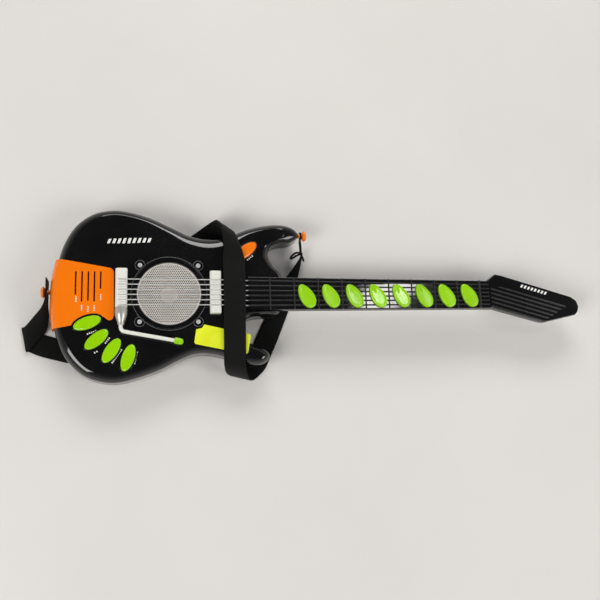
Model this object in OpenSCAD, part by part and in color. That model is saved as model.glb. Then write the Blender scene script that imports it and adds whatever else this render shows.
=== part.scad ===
// Toy electric guitar, lying on its back.
// +X runs along the neck to the headstock, +Y to the upper horn, +Z out of the face.
// The origin is on the plane the back rests on, under the centre of the speaker.

/* [Body] */
// Height of the flat face above the resting plane
face_z = 45; // [44:0.5:47]
// Height of the line where the front and back shells meet
split_z = 20; // [18:0.5:21]
// Wall thickness of the two shells
wall = 2.5; // [2:0.1:3]
// Height of the rounded rim between the wall and the face
rim_h = 12; // [8:0.5:13]

/* [Tail panel] */
// How far the tail panel stands out from the body wall
panel_out = 3.5; // [3:0.1:4.5]
// Thickness of the tail panel over the face
panel_t = 1.6; // [1:0.1:2]

/* [Speaker] */
// Radius of the visible grille
grille_r = 41.5; // [38:0.5:42]
// Distance of each grille screw from the centre lines
screw_xy = 38; // [37:0.5:39]

/* [Strings] */
// Distance between neighbouring strings
string_gap = 6.8; // [6:0.1:7]
// Diameter of a free string
string_d = 1.2; // [0.8:0.1:1.4]

/* [Neck] */
// Distance between neighbouring frets
fret_gap = 33; // [32:0.1:33]
// Half the width of the neck at the body
neck_w0 = 22.3; // [22:0.1:22.5]
// Half the width of the neck at the nut
neck_w1 = 19.5; // [19.4:0.1:20.5]
// Backward tilt of the headstock in degrees
head_tilt = 4; // [2:0.5:6]

/* [Buttons] */
// Travel of every sprung button
travel = 1.5; // [1:0.1:1.6]
// Half the length of an oval body button
oval_a = 18; // [16:0.5:18]
// Half the width of an oval body button
oval_b = 8; // [7:0.5:8]
// Height of the oval buttons above the face
proud = 2.6; // [2:0.1:3]

/* [Strap] */
// Thickness of the webbing
strap_t = 1.6; // [1.2:0.1:1.6]

/* [Hidden] */
$fn = 48;
eps = 0.02;

black = [0.06, 0.06, 0.07];
orange = [1, 0.5, 0.05];
green = [0.6, 0.86, 0.05];
white = [0.92, 0.92, 0.88];
steel = [0.75, 0.75, 0.76];

// ---- curves and lofts ----
function cr(a, b, c, d, t) = 0.5*(2*b + (c - a)*t + (2*a - 5*b + 4*c - d)*t*t + (3*b - a - 3*c + d)*t*t*t);
function closed_curve(p, n) = let(m = len(p))
    [for (i = [0:m - 1]) for (k = [0:n - 1]) cr(p[(i + m - 1) % m], p[i], p[(i + 1) % m], p[(i + 2) % m], k/n)];
function open_curve(p, n) = let(m = len(p))
    concat([for (i = [0:m - 2]) for (k = [0:n - 1]) cr(p[max(i - 1, 0)], p[i], p[i + 1], p[min(i + 2, m - 1)], k/n)],
        [p[m - 1]]);
function unit(v) = v/norm(v);

// solid through a stack of rings, each counter-clockwise from above, lowest first
module loft(rings) {
    n = len(rings[0]);
    m = len(rings);
    polyhedron([for (r = rings) each r], concat(
        [[for (i = [0:n - 1]) i]],
        [for (j = [0:m - 2]) for (i = [0:n - 1]) each [
            [j*n + i, (j + 1)*n + i, (j + 1)*n + (i + 1) % n],
            [j*n + i, (j + 1)*n + (i + 1) % n, j*n + (i + 1) % n]]],
        [[for (i = [n - 1:-1:0]) (m - 1)*n + i]]), convexity = 8);
}

// ---- outline of the body: outer x, y and the edge of the flat face x, y ----
outline = [
    [-149, 0, -141, 0], [-148, -30, -140, -29], [-143, -58, -134, -55], [-130, -85, -121, -80],
    [-110, -105, -104, -98], [-88, -114, -86, -105], [-66, -116, -67, -107], [-40, -110, -42, -101],
    [-12, -100, -15, -91], [14, -87, 11, -79], [36, -79, 36, -70], [60, -80, 59, -72],
    [84, -87, 84, -79], [106, -94, 104, -85], [124, -93, 118, -88], [133, -83, 123, -83],
    [126, -73, 117, -77], [110, -67, 106, -72], [99, -57, 93, -61], [97, -42, 91, -43],
    [106, -31, 100, -27], [124, -28, 123, -24], [144, -26, 142, -22], [152, -12, 148, -12],
    [152, 12, 148, 12], [150, 30, 145, 27], [140, 42, 134, 38], [134, 55, 125, 54],
    [138, 68, 129, 67], [150, 74, 142, 74], [166, 76, 151, 79], [177, 85, 154, 84],
    [170, 95, 152, 90], [154, 100, 144, 92], [132, 99, 128, 90], [106, 93, 106, 83],
    [80, 83, 84, 70], [54, 78, 56, 62], [28, 82, 26, 68], [4, 93, 1, 82],
    [-22, 105, -25, 96], [-48, 113, -49, 104], [-74, 116, -73, 107], [-100, 110, -96, 101],
    [-122, 93, -114, 87], [-136, 69, -127, 65], [-144, 42, -136, 39], [-148, 20, -140, 19]];
body = closed_curve(outline, 3);
nb = len(body);
function out_dir(i) = let(a = body[(i + nb - 1) % nb], b = body[(i + 1) % nb], d = [b[0] - a[0], b[1] - a[1]])
    [d[1], -d[0]]/norm(d);
// one point of a ring: f goes from the wall (0) to the face edge (1), e is pushed outwards
function ring_pt(i, f, e, z) = let(p = body[i], n = out_dir(i))
    [p[0]*(1 - f) + p[2]*f + n[0]*e, p[1]*(1 - f) + p[3]*f + n[1]*e, z];
function ring(f, e, z) = [for (i = [0:nb - 1]) ring_pt(i, f, e, z)];
// rim profile: share of the way to the face edge and height at angle a
rim_end = 68;
function rim_f(a) = (1 - cos(a))/(1 - cos(rim_end));
function rim_z(a) = face_z - rim_h + rim_h*sin(a)/sin(rim_end);

// ---- button layout ----
style_at = [[-104, -39.5, 20], [-92, -61, 40], [-73, -75.5, 57], [-52, -85, 72]];
horn_at = [101, 58.5, 38];
function fret_x(k) = 100.5 + fret_gap*k;
function fret_btn(j) = [(fret_x(j + 2) + fret_x(j + 3))/2, -3.8 + 0.3*j, -61];
bosses = [[-125, 58], [-133, -30], [-104, -88], [-20, -84], [60, -62], [-70, 92], [0, 72], [128, 84]];
neck_bolts = [[112, 9], [112, -9], [137, 9], [137, -9]];

function oval(a, b, n = 40) = [for (i = [0:n - 1]) [a*cos(i*360/n), b*sin(i*360/n)]];
// teardrop: the +x end is the wider one
function drop(a, b, n = 40) = [for (i = [0:n - 1]) [a*cos(i*360/n), (b + 1.1*cos(i*360/n))*sin(i*360/n)]];

module at(p) translate([p[0], p[1], 0]) rotate([0, 0, p[2]]) children();
module prism(pts, z0, z1) translate([0, 0, z0]) linear_extrude(z1 - z0) polygon(pts);
module rod(r, z0, z1) translate([0, 0, z0]) cylinder(r = r, h = z1 - z0);
module box(x0, x1, y0, y1, z0, z1) translate([x0, y0, z0]) cube([x1 - x0, y1 - y0, z1 - z0]);

// ---- body shells ----
module front_shell() color(black) resize([0, 0, 0]) difference() {
    $fn = 24;
    union() {
        difference() {
            loft(concat([ring(0, 0, split_z)], [for (a = [0, 16, 32, 48, 60, rim_end]) ring(rim_f(a), 0, rim_z(a))]));
            loft([ring(0, -wall, split_z - 1), ring(0, -wall, face_z - rim_h), ring(0.3, -wall, face_z - wall - 3.2),
                ring(1, -1.5, face_z - wall)]);
        }
        // bosses for the case screws
        for (p = bosses) translate([p[0], p[1], 0]) rod(4, split_z, face_z - wall + 0.6);
        // bosses for the grille screws
        for (x = [-1, 1], y = [-1, 1]) translate([x*screw_xy, y*screw_xy, 0]) rod(4.5, face_z - 14, face_z - wall + 0.5);
        // posts for the button boards
        for (p = [[-116, -60], [-93, -98], [-34, -72], [-66, -40], [80, 52], [120, 52]])
            translate([p[0], p[1], 0]) rod(2.5, 33.7, face_z - wall + 0.4);
        // raised collars round the ovals
        for (p = style_at) at(p) prism(oval(oval_a + 1.9, oval_b + 1.9), face_z - 0.7, face_z + 1);
        at(horn_at) prism(oval(oval_a + 2.9, oval_b + 1.9), face_z - 0.7, face_z + 1);
    }
    for (p = style_at) at(p) prism(oval(oval_a + 0.5, oval_b + 0.5), 36, 50);
    at(horn_at) prism(oval(oval_a + 1.5, oval_b + 0.5), 36, 50);
    // opening and seat for the speaker
    rod(44, 30, 50, $fn = 96);
    rod(50.2, face_z - 1.5, 50, $fn = 96);
    for (x = [-1, 1], y = [-1, 1]) translate([x*screw_xy, y*screw_xy, 0]) {
        rod(7.2, face_z - 1.5, 50);
        rod(1.3, face_z - 12, 50);
    }
    for (p = bosses) translate([p[0], p[1], 0]) rod(1.45, split_z - 1, split_z + 14);
    // sockets under the bridge and the pickup
    for (y = [-14, 14]) {
        translate([-61.5, y + 5, 0]) rod(2.05, 35, 50);
        translate([60.5, y + 1, 0]) rod(2.05, 35, 50);
    }
    // pocket for the neck
    box(103.5, 160, -22.9, 22.9, 25.8, 60);
    // holes of the two strap pegs
    translate([-160, 4, 29.5]) rotate([0, 90, 0]) cylinder(r = 3.05, h = 30);
    translate([168, 86, 29.5]) rotate([0, 90, 0]) cylinder(r = 3.05, h = 20);
}

pad_main = [[-44, -64], [86, -64], [86, 34], [20, 32], [-30, -34]];
pad_left = [[-118, -14], [-76, -14], [-32, 52], [-32, 86], [-78, 94], [-118, 62]];
pad_heel = [[100, -20], [124, -20], [140, 18], [140, 22], [100, 24]];
bay = [18, 78, -26, 22];

module back_shell() color(black) resize([0, 0, 0]) difference() {
    $fn = 24;
    union() {
        difference() {
            loft(concat([for (a = [90, 65, 40, 18]) ring(0, -6*(1 - cos(a)), 12 - 9*sin(a))],
                [ring(0, 0, 12), ring(0, 0, split_z - eps)]));
            loft([ring(0, -6 - wall, 3 + wall), ring(0, -wall - 1, 10), ring(0, -wall, 14), ring(0, -wall, split_z + 1)]);
        }
        // flat pads that the guitar rests on
        prism(pad_main, 0, 3.9);
        prism(pad_left, 0, 3.8);
        prism(pad_heel, 0, 3.7);
        for (p = bosses) translate([p[0], p[1], 0]) rod(4.2, 4.2, split_z - eps);
        for (p = neck_bolts) translate([p[0], p[1], 0]) rod(4.5, 4.2, 25.7);
        // battery bay
        box(bay[0] - 2, bay[1] + 2, bay[2] - 2, bay[3] + 2, 4.3, 20.4);
        // posts of the main board
        for (p = [[-112, 4], [-52, 4], [-112, 46], [-52, 46]]) translate([p[0], p[1], 0]) rod(2.6, 4.4, 10);
        // cradle of the power switch
        box(-98, -74, 61, 75, 4.1, 6.6);
    }
    box(bay[0], bay[1], bay[2], bay[3], -1, 18.6);
    for (p = bosses) translate([p[0], p[1], 0]) {
        rod(1.7, -1, 30);
        rod(3.3, -1, 8);
    }
    for (p = neck_bolts) translate([p[0], p[1], 0]) {
        rod(1.7, -1, 30);
        rod(3.3, -1, 8);
    }
    // slot and sunk thumb well of the power switch
    box(-93, -79, 65, 71, -1, 10);
    box(-96, -76, 63, 73, -1, 2.4);
}

// ---- tail panel ----
tail_i = [for (k = [0:26]) (nb - 13 + k) % nb];
function tail_ring(f, e, z) = concat([for (i = tail_i) ring_pt(i, f, e, z)], [[-62, -50, z], [-62, 50, z]]);
panel_edge = [[-170, 50], [-138, 44.6], [-120, 41.6], [-90, 36.2], [-76, 33.6], [-73, 31.6], [-71.5, 28.5], [-70.6, -29.5],
    [-71.4, -33], [-73.5, -35.5], [-76.5, -36], [-79, -35], [-84, -31], [-92, -36], [-116, -43], [-122, -41.8], [-127, -43.3], [-136, -45], [-170, -49]];

module tail_panel() color(orange) difference() {
    intersection() {
        loft(concat([tail_ring(0, panel_out, split_z + 0.3)],
            [for (a = [0, 18, 36, 52]) tail_ring(rim_f(a)*0.9, panel_out*(1 - a/400), rim_z(a) + panel_t*a/90)],
            [tail_ring(0.86, 1.2, face_z + panel_t - 0.5), tail_ring(1, 0.2, face_z + panel_t)]));
        prism(panel_edge, 0, 60);
    }
    loft([for (a = [0, 16, 32, 48, 60, rim_end]) each a == 0 ? [tail_ring(0, 0.15, split_z - 1), tail_ring(0, 0.15, rim_z(0) + 0.05)]
        : [tail_ring(rim_f(a), 0.12, rim_z(a) + 0.05)]]);
    // recess that follows the first oval
    at(style_at[0]) prism(oval(oval_a + 3, oval_b + 2.9), 30, 60);
    // five slots
    for (s = [[-119.5, -2.5], [-111.5, -11.5], [-103.6, -10.5], [-95.8, -11.5], [-88, 5.5]])
        box(s[0] - 1, s[0] + 1, s[1], 29, face_z - 3, 60);
    translate([-160, 4, 29.5]) rotate([0, 90, 0]) cylinder(r = 3.05, h = 30);
}

// ---- speaker ----
module speaker_bezel() color(black) difference() {
    union() {
        rod(50, face_z - 1.5, face_z + 0.8);
        for (x = [-1, 1], y = [-1, 1]) translate([x*screw_xy, y*screw_xy, 0]) rod(7, face_z - 1.5, face_z + 0.8);
    }
    rod(grille_r, 30, 60);
    rod(47.6, face_z - 0.2, 60);
    rod(43.9, face_z - 2, face_z - 0.7);
    for (x = [-1, 1], y = [-1, 1]) translate([x*screw_xy, y*screw_xy, 0]) {
        rod(1.7, 30, 60);
        rod(5.4, face_z - 0.2, 60);
    }
}
module speaker_grille() color(steel) translate([0, 0, face_z - 1.5]) linear_extrude(0.8) difference() {
    circle(r = 43.8, $fn = 96);
    for (i = [-6:6], j = [-7:7]) let(x = i*6 + (abs(j) % 2)*3, y = j*5.2)
        if (x*x + y*y < 38*38) translate([x, y]) circle(r = 1.6, $fn = 6);
}
module grille_screws() color(steel) for (x = [-1, 1], y = [-1, 1]) translate([x*screw_xy, y*screw_xy, 0]) difference() {
    union() {
        rod(2.9, face_z - 0.2, face_z + 1.4);
        rod(1.25, face_z - 11, face_z);
    }
    box(-2, 2, -0.4, 0.4, face_z + 0.8, 60);
    box(-0.4, 0.4, -2, 2, face_z + 0.8, 60);
}
module speaker_basket() color("dimgray") translate([0, 0, face_z]) difference() {
    union() {
        rod(43.6, -3, -1.6);
        translate([0, 0, -16]) cylinder(r1 = 21, r2 = 40, h = 13.2);
    }
    translate([0, 0, -15]) cylinder(r1 = 20.5, r2 = 38.6, h = 13.5);
    rod(9, -20, 5);
    for (a = [45:90:315]) rotate([0, 0, a]) translate([28, 0, 0]) rod(5, -20, -6);
}
module speaker_cone() color([0.85, 0.84, 0.8]) translate([0, 0, face_z]) rotate_extrude()
    polygon([[0, -5.2], [4, -5.6], [8, -6.8], [11, -9], [13, -9.6], [33, -2.9], [35, -2.2], [37, -2.4], [37, -1.7],
        [34.5, -1.6], [32.5, -2.2], [13, -8.9], [11.4, -8.2], [8.4, -6], [4.2, -4.8], [0, -4.4]]);
module speaker_magnet() color("gray") translate([0, 0, face_z]) union() {
    rod(20, -22.5, -16.05);
    rod(8.5, -17, -11);
}

// ---- bridge, pickup, strings, whammy bar ----
string_z = face_z + 9.1;
module bridge() color(white) difference() {
    union() {
        translate([-61.5, 0, 0]) rotate([90, 0, 0]) translate([0, 0, -32]) linear_extrude(52)
            polygon([[-7.6, face_z], [7.6, face_z], [7.6, face_z + 8], [5.6, face_z + 9.5], [-5.4, face_z + 9.5], [-7.6, face_z + 7]]);
        for (y = [-14, 14]) translate([-61.5, y + 5, 0]) rod(2, face_z - 6, face_z + 1);
    }
    for (k = [-2.5:1:2.5]) box(-66, -50, k*string_gap - 0.9, k*string_gap + 0.9, string_z - 0.7, 60);
}
module bridge_socket() color(steel) difference() {
    translate([-61.5, -20.05, face_z + 6]) rotate([90, 0, 0]) rotate_extrude()
        polygon([[0, 0], [7.6, 0], [8, 4], [7.8, 9], [6.6, 14], [4.6, 19], [4, 23], [0, 23]]);
    box(-80, -40, -60, 0, 20, face_z);
    translate([-61.5, -19, face_z + 7]) rotate([90, 0, 0]) translate([0, 0, 5]) cylinder(r = 2.57, h = 40);
}
bar_z = face_z + 7;
elbow = [-55.5, -46];
arm_turn = 79.5;
module arm_place() translate([elbow[0] - 6*cos(arm_turn), elbow[1] - 6*sin(arm_turn), bar_z]) rotate([0, 0, arm_turn - 90]) rotate([0, 90, 0]) children();
module whammy_bar() color(white) union() {
    translate([-61.5, -26, bar_z]) rotate([90, 0, 0]) cylinder(r = 2.5, h = 20);
    translate([elbow[0], elbow[1], bar_z]) rotate([0, 0, 180]) rotate_extrude(angle = arm_turn) translate([6, 0]) circle(r = 2.5);
    arm_place() cylinder(r = 2.5, h = 69.9);
}
module whammy_tip() color(green) arm_place() difference() {
    rotate_extrude() polygon([[0, 64.3], [3.4, 64.3], [4.2, 65.2], [4.2, 72], [3.2, 75], [0, 76.5]]);
    translate([0, 0, 50]) cylinder(r = 2.5, h = 20);
}
module pickup() color(white) difference() {
    union() {
        box(53.3, 67.9, -27.5, 29.5, face_z, face_z + 9.5);
        for (y = [-14, 14]) translate([60.5, y + 1, 0]) rod(2, face_z - 6, face_z + 1);
    }
    for (k = [-2.5:1:2.5]) box(50, 70, k*string_gap - 0.9, k*string_gap + 0.9, string_z - 0.7, 60);
}
module strings() color([0.8, 0.8, 0.8]) for (k = [-2.5:1:2.5]) translate([0, k*string_gap, 0]) {
    translate([-65.9, 0, string_z]) rotate([0, 90, 0]) cylinder(r = string_d/2, h = 135.9);
    translate([70, 0, string_z]) sphere(r = string_d/2, $fn = 16);
    hull() {
        translate([70, 0, string_z]) sphere(r = string_d/2, $fn = 12);
        translate([103.8, 0, face_z + 5.4]) rotate([0, -90, 0]) cylinder(r = string_d/2, h = 0.2, $fn = 12);
    }
}

// ---- sprung buttons ----
module oval_button(a, b, tint) color(tint) union() {
    difference() {
        prism(oval(a, b), face_z - 4.5, face_z + proud);
        prism(oval(a - 2, b - 2), face_z + proud - 0.5, 60);
    }
    prism(oval(a + 1.5, b + 1.5), face_z - 5.2, face_z - wall - 0.4);
    rod(3.5, face_z - 7.5, face_z - 5);
}
module style_button(k) at(style_at[k]) oval_button(oval_a, oval_b, green);
module style_button_1() style_button(0);
module style_button_2() style_button(1);
module style_button_3() style_button(2);
module style_button_4() style_button(3);
module horn_button() at(horn_at) oval_button(oval_a + 1, oval_b, orange);

module fret_button(j) color(green) at(fret_btn(j)) translate([0, 0, face_z]) union() {
    difference() {
        union() {
            prism(drop(17.6, 9.2), 4.1, 7.6);
            prism(drop(17, 8.6), 7.5, 8.2);
        }
        prism(drop(15, 6.8), 7.5, 10);
    }
    prism(drop(16.2, 9), 2.2, 4.2);
    prism(drop(15.4, 10.2), 0.7, 2.2);
    rod(3, -2, 1);
}
module fret_button_1() fret_button(0);
module fret_button_2() fret_button(1);
module fret_button_3() fret_button(2);
module fret_button_4() fret_button(3);
module fret_button_5() fret_button(4);
module fret_button_6() fret_button(5);
module fret_button_7() fret_button(6);
module fret_button_8() fret_button(7);

// boards and rubber keypads under the buttons
style_plate = [[-124, -44], [-120, -60], [-106, -80], [-94, -103], [-58, -104], [-34, -94], [-32, -68], [-52, -62], [-72, -46], [-82, -30], [-112, -28]];
module body_button_board() color("darkgreen") difference() {
    prism(style_plate, 32, 33.6);
    for (p = [[-104, -88], [-20, -84]]) translate([p[0], p[1], 0]) rod(4.6, 20, 40);
}
module body_keypad() color("gainsboro") for (p = style_at) at(p) union() {
    prism(oval(13, 7), 33.65, 34.5);
    rod(4, 34.4, face_z - 7.9 - travel);
}
module horn_button_board() color("darkgreen") prism([[76, 44], [118, 46], [124, 60], [122, 72], [96, 72], [76, 60]], 32, 33.6);
module horn_keypad() color("gainsboro") at(horn_at) union() {
    prism(oval(13, 7), 33.65, 34.5);
    rod(4, 34.4, face_z - 7.9 - travel);
}

// ---- neck ----
neck_x0 = 104;
nut_x = fret_x(10);
function half_w(x) = neck_w0 + (neck_w1 - neck_w0)*(x - neck_x0)/(nut_x - neck_x0);
head = [[0, -18.5], [4, -18.5], [83, -38.6], [97, -35.5], [133, -27.5], [138, -22], [140, -14.5], [137, -6.5], [129, -1], [22, 27.5], [11, 29.5], [0, 21]];
// string ridge lines of the head run parallel to its upper edge
head_dir = -14.5;
neck_top = face_z + 5;

module head_place() translate([nut_x + 14, 0, neck_top]) rotate([0, head_tilt, 0]) children();
module neck_front() color(black) difference() {
    union() {
        // fingerboard with its side walls
        difference() {
            prism([[neck_x0, -half_w(neck_x0)], [nut_x + 15, -half_w(nut_x + 15)], [nut_x + 15, half_w(nut_x + 15)], [neck_x0, half_w(neck_x0)]],
                neck_top - 10, neck_top);
            prism([[neck_x0 + 2, 2 - half_w(neck_x0)], [nut_x + 6, 2 - half_w(nut_x)], [nut_x + 6, half_w(nut_x) - 2], [neck_x0 + 2, half_w(neck_x0) - 2]],
                neck_top - 11, neck_top - 2.5);
        }
        // string ridges
        for (k = [-2.5:1:2.5]) intersection() {
            translate([neck_x0, k*string_gap, neck_top]) rotate([0, 90, -0.2*k]) cylinder(r = 1.1, h = nut_x - neck_x0 + 14, $fn = 24);
            box(neck_x0, nut_x + 14, -22, 22, neck_top - 1, 60);
        }
        // frets and nut
        for (k = [1:9]) box(fret_x(k) - 0.8, fret_x(k) + 0.8, -half_w(fret_x(k)), half_w(fret_x(k)), neck_top - 1, neck_top + 1.7);
        box(nut_x - 1.5, nut_x + 1.5, -half_w(nut_x), half_w(nut_x), neck_top - 1, neck_top + 2);
        head_place() {
            prism(head, -9, 0);
            // string ridges on the head
            intersection() {
                union() for (k = [-2.5:1:2.5]) translate([3, k*6.2 - 1, 0]) rotate([0, 0, head_dir]) translate([0, -1.1, -1]) cube([140, 2.2, 2.2]);
                prism([[3, -17], [78, -36.5], [84, -36.5], [126, -11], [126, -4], [110, 2], [3, 12]], -1, 4);
            }
        }
    }
    for (j = [0:7]) at(fret_btn(j)) prism(drop(18, 9.6), neck_top - 2.6, 60);
    for (p = neck_bolts) translate([p[0], p[1], 0]) rod(1.45, 30, 44);
}
// half round ring of the neck's back at x: w half width, d depth below the top half
function u_ring(x, w, d, z) = [for (i = [0:14]) let(a = 360 - i*180/14)
    [x, w*cos(a)*pow(abs(cos(a)) + 0.0001, -0.35), z + d*sin(a)*pow(abs(sin(a)) + 0.0001, -0.35)]];
module tube_loft(rings) {
    n = len(rings[0]);
    m = len(rings);
    polyhedron([for (r = rings) each r], concat(
        [[for (i = [n - 1:-1:0]) i]],
        [for (j = [0:m - 2]) for (i = [0:n - 1]) each [
            [j*n + i, (j + 1)*n + (i + 1) % n, (j + 1)*n + i],
            [j*n + i, j*n + (i + 1) % n, (j + 1)*n + (i + 1) % n]]],
        [[for (i = [0:n - 1]) (m - 1)*n + i]]), convexity = 6);
}
module neck_back() color(black) difference() {
    union() {
        difference() {
            tube_loft([u_ring(neck_x0, half_w(neck_x0), 13.9, neck_top - 10.05), u_ring(nut_x - 10, half_w(nut_x - 10), 13, neck_top - 10.05),
                u_ring(nut_x + 18, half_w(nut_x + 14), 12, neck_top - 10.05)]);
            tube_loft([u_ring(neck_x0 + 2.5, half_w(neck_x0) - 2.3, 11.4, neck_top - 10), u_ring(nut_x + 4, half_w(nut_x) - 2.3, 9.4, neck_top - 10)]);
        }
        for (p = neck_bolts) translate([p[0], p[1], 0]) rod(4, 27, 39.9);
        // rests for the fret board
        for (x = [170:66:400]) box(x, x + 3, -14, 14, 29, face_z - 7.1);
        head_place() prism([for (p = head) [3.5 + p[0]*0.965, -4.5 + (p[1] + 4.5)*0.94]], -17.5, -9.05);
    }
    for (p = neck_bolts) translate([p[0], p[1], 0]) rod(1.45, 20, 44);
}
module fret_board_pcb() color("darkgreen") box(160, 424, -12, 12, face_z - 7, face_z - 5.4);
module fret_keypad() color("gainsboro") union() {
    box(166, 422, -10, 8, face_z - 5.35, face_z - 4.5);
    for (j = [0:7]) translate([fret_btn(j)[0], fret_btn(j)[1], 0]) rod(4, face_z - 4.6, face_z - 2.4 - travel);
}

// ---- electronics and power ----
module main_board() color("darkgreen") difference() {
    union() {
        box(-116, -48, 0, 50, 10.05, 11.65);
        box(-92, -76, 16, 32, 11.6, 13.4);
        box(-70, -60, 26, 36, 11.6, 14);
        for (x = [-108, -100]) translate([x, 38, 0]) rod(3, 11.6, 19);
        translate([-66, 14, 0]) rod(4, 11.6, 17);
        box(-58, -50, 12, 24, 11.6, 16);
    }
}
module batteries() color([0.35, 0.55, 0.6]) for (y = [-17.6, -2, 13.6]) translate([bay[0] + 4.2, y, 10.6]) rotate([0, 90, 0]) {
    cylinder(r = 7.1, h = 49.2);
    translate([0, 0, 49.1]) cylinder(r = 2.7, h = 1.3);
}
module battery_contacts() color("silver") for (y = [-17.6, -2, 13.6]) translate([0, y, 10.6]) {
    box(bay[0] + 0.05, bay[0] + 0.55, -5, 5, -6, 6);
    for (k = [0:3]) translate([bay[0] + 0.5 + k*0.85, 0, 0]) rotate([0, 90, 0]) difference() {
        cylinder(r = 4.5 - k*0.6, h = 0.9);
        translate([0, 0, -1]) cylinder(r = 3.7 - k*0.6, h = 3);
    }
    box(bay[1] - 0.6, bay[1] - 0.1, -5, 5, -6, 6);
}
module battery_door() color(black) difference() {
    union() {
        box(bay[0] + 0.2, bay[1] - 0.2, bay[2] + 0.2, bay[3] - 0.2, 0, 2.2);
        for (y = [-20, -4, 12]) box(bay[0] + 0.2, bay[0] + 3, y, y + 5, 2.1, 3.4);
    }
    for (k = [0:5]) box(bay[0] + 12 + k*5, bay[0] + 14 + k*5, -16, 12, -1, 0.6);
    translate([bay[1] - 5, -2, 0]) rod(1.7, -1, 5);
    translate([bay[1] - 5, -2, 0]) rod(3.2, -1, 1.2);
}
module battery_screw() color("silver") translate([bay[1] - 5, -2, 0]) difference() {
    rod(2.8, 0.2, 1.2);
    box(-3, 3, -0.4, 0.4, -1, 0.7);
}
module power_slider() color(black) union() {
    box(-92.5, -86.5, 65.3, 70.7, 1.2, 7.5);
    box(-91, -88, 66.5, 69.5, 7.4, 9.2);
    for (x = [-92, -90, -88]) box(x, x + 1, 65.3, 70.7, 0.7, 1.3);
}
module power_switch() color("silver") difference() {
    box(-97, -75, 62, 74, 6.65, 16);
    box(-93.2, -78.8, 64.9, 71.1, 5, 12);
}

// ---- fasteners ----
module case_screws() color("silver") for (p = bosses) translate([p[0], p[1], 0]) union() {
    rod(2.9, 5.8, 8);
    rod(1.4, 7.9, split_z + 12);
}
module neck_screws() color("silver") for (p = neck_bolts) translate([p[0], p[1], 0]) union() {
    rod(2.9, 5.8, 8);
    rod(1.4, 7.9, 42);
}

// ---- strap pegs: stem through the wall, domed head outside ----
module peg(len_in, len_out) rotate_extrude() polygon([[0, -len_in - 2], [4, -len_in - 2], [4, -len_in], [3, -len_in], [3, len_out],
    [5, len_out], [7.4, len_out + 1.6], [7.4, len_out + 3.2], [5.6, len_out + 5], [3, len_out + 5.8], [0, len_out + 6]]);
module tail_peg() color(orange) translate([-152.6, 4, 29.5]) rotate([0, -90, 0]) peg(6.6, 6.6);
module horn_peg() color(orange) translate([177, 86, 29.5]) rotate([0, 90, 0]) peg(6, 6);

// ---- strap: rulings from the left edge to the right edge of the webbing ----
strap_rows = [
    [-157, 21, 44, -157, 21, 16], [-157, 4, 44, -157, 4, 16], [-158, -9, 43, -157, -11, 15],
    [-163, -18, 36, -156, -26, 11], [-173, -26, 23, -159, -42, 5], [-182, -33, 11, -170, -56, 4],
    [-188, -38, 5, -181, -69, 5], [-190.5, -38, 3, -184, -70.5, 3], [-188, -38, 0.9, -181, -70, 0.9],
    [-160, -48, 0.9, -169, -75, 0.9], [-139, -54, 0.9, -148, -81, 0.9], [-119, -57, 0.9, -121, -86, 0.9],
    [-102, -52, 0.9, -89, -78, 0.9], [-85, -37, 0.9, -64, -57, 0.9], [-66, -4, 0.9, -43, -22, 0.9],
    [-38, 29, 0.9, -16, 10, 0.9], [-11, 61, 0.9, 10, 41, 0.9], [9, 78, 1.2, 29, 57, 0.9],
    [29, 90, 4, 48, 67, 0.9], [46, 101, 11, 65, 77, 1.4], [58, 107, 21, 76, 85, 8],
    [63, 106, 34, 82, 90, 22], [66, 100, 46, 86, 90, 36], [69, 90, 53, 90, 80, 46],
    [71, 76, 55, 95, 65, 50], [72, 62, 53, 99, 52, 50], [71, 46, 51, 100, 43, 50.5],
    [71, 28, 54, 100, 28, 54], [71, 17, 56, 100, 17, 56], [71, 0, 56.2, 100, 0, 56.2],
    [71, -17, 56, 100, -17, 56], [71, -32, 52.5, 100, -32, 52.5], [71, -52, 49, 100, -52, 49],
    [71, -70, 48, 100, -72, 48.5], [71, -84, 45, 100, -88, 46], [72, -95, 37, 101, -100, 38],
    [75, -102, 25, 104, -108, 26], [81, -105, 12, 109, -112, 13], [88, -103, 3.5, 116, -110, 4],
    [96, -96, 1, 123, -104, 1], [105, -82, 0.9, 131, -95, 0.9], [114, -63, 0.9, 140, -76, 0.9],
    [124, -42, 0.9, 149, -56, 0.9], [133, -24, 0.9, 157, -36, 0.9], [144, -2, 0.9, 166, -13, 0.9],
    [154, 17, 1.6, 173, 9, 1.4], [162, 31, 4, 178, 26, 4], [173, 46, 9, 182, 43, 9],
    [181, 58, 12.5, 185, 57, 12.5], [182.5, 62, 13, 185.5, 62, 13]];
function strap_frame(c, i) = let(a = c[max(i - 1, 0)], b = c[min(i + 1, len(c) - 1)], p = c[i],
    l = [p[0], p[1], p[2]], r = [p[3], p[4], p[5]],
    d = [b[0] + b[3] - a[0] - a[3], b[1] + b[4] - a[1] - a[4], b[2] + b[5] - a[2] - a[5]],
    n = unit(cross(d, l - r))*strap_t/2)
    [l + n, r + n, r - n, l - n];
module strap() color([0.12, 0.12, 0.12]) {
    c = open_curve(strap_rows, 2);
    difference() {
        tube_loft([for (i = [0:len(c) - 1]) strap_frame(c, i)]);
        // hole that goes over the tail peg
        translate([-165, 4, 29.5]) rotate([0, 90, 0]) cylinder(r = 3.3, h = 14);
    }
}
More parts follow.
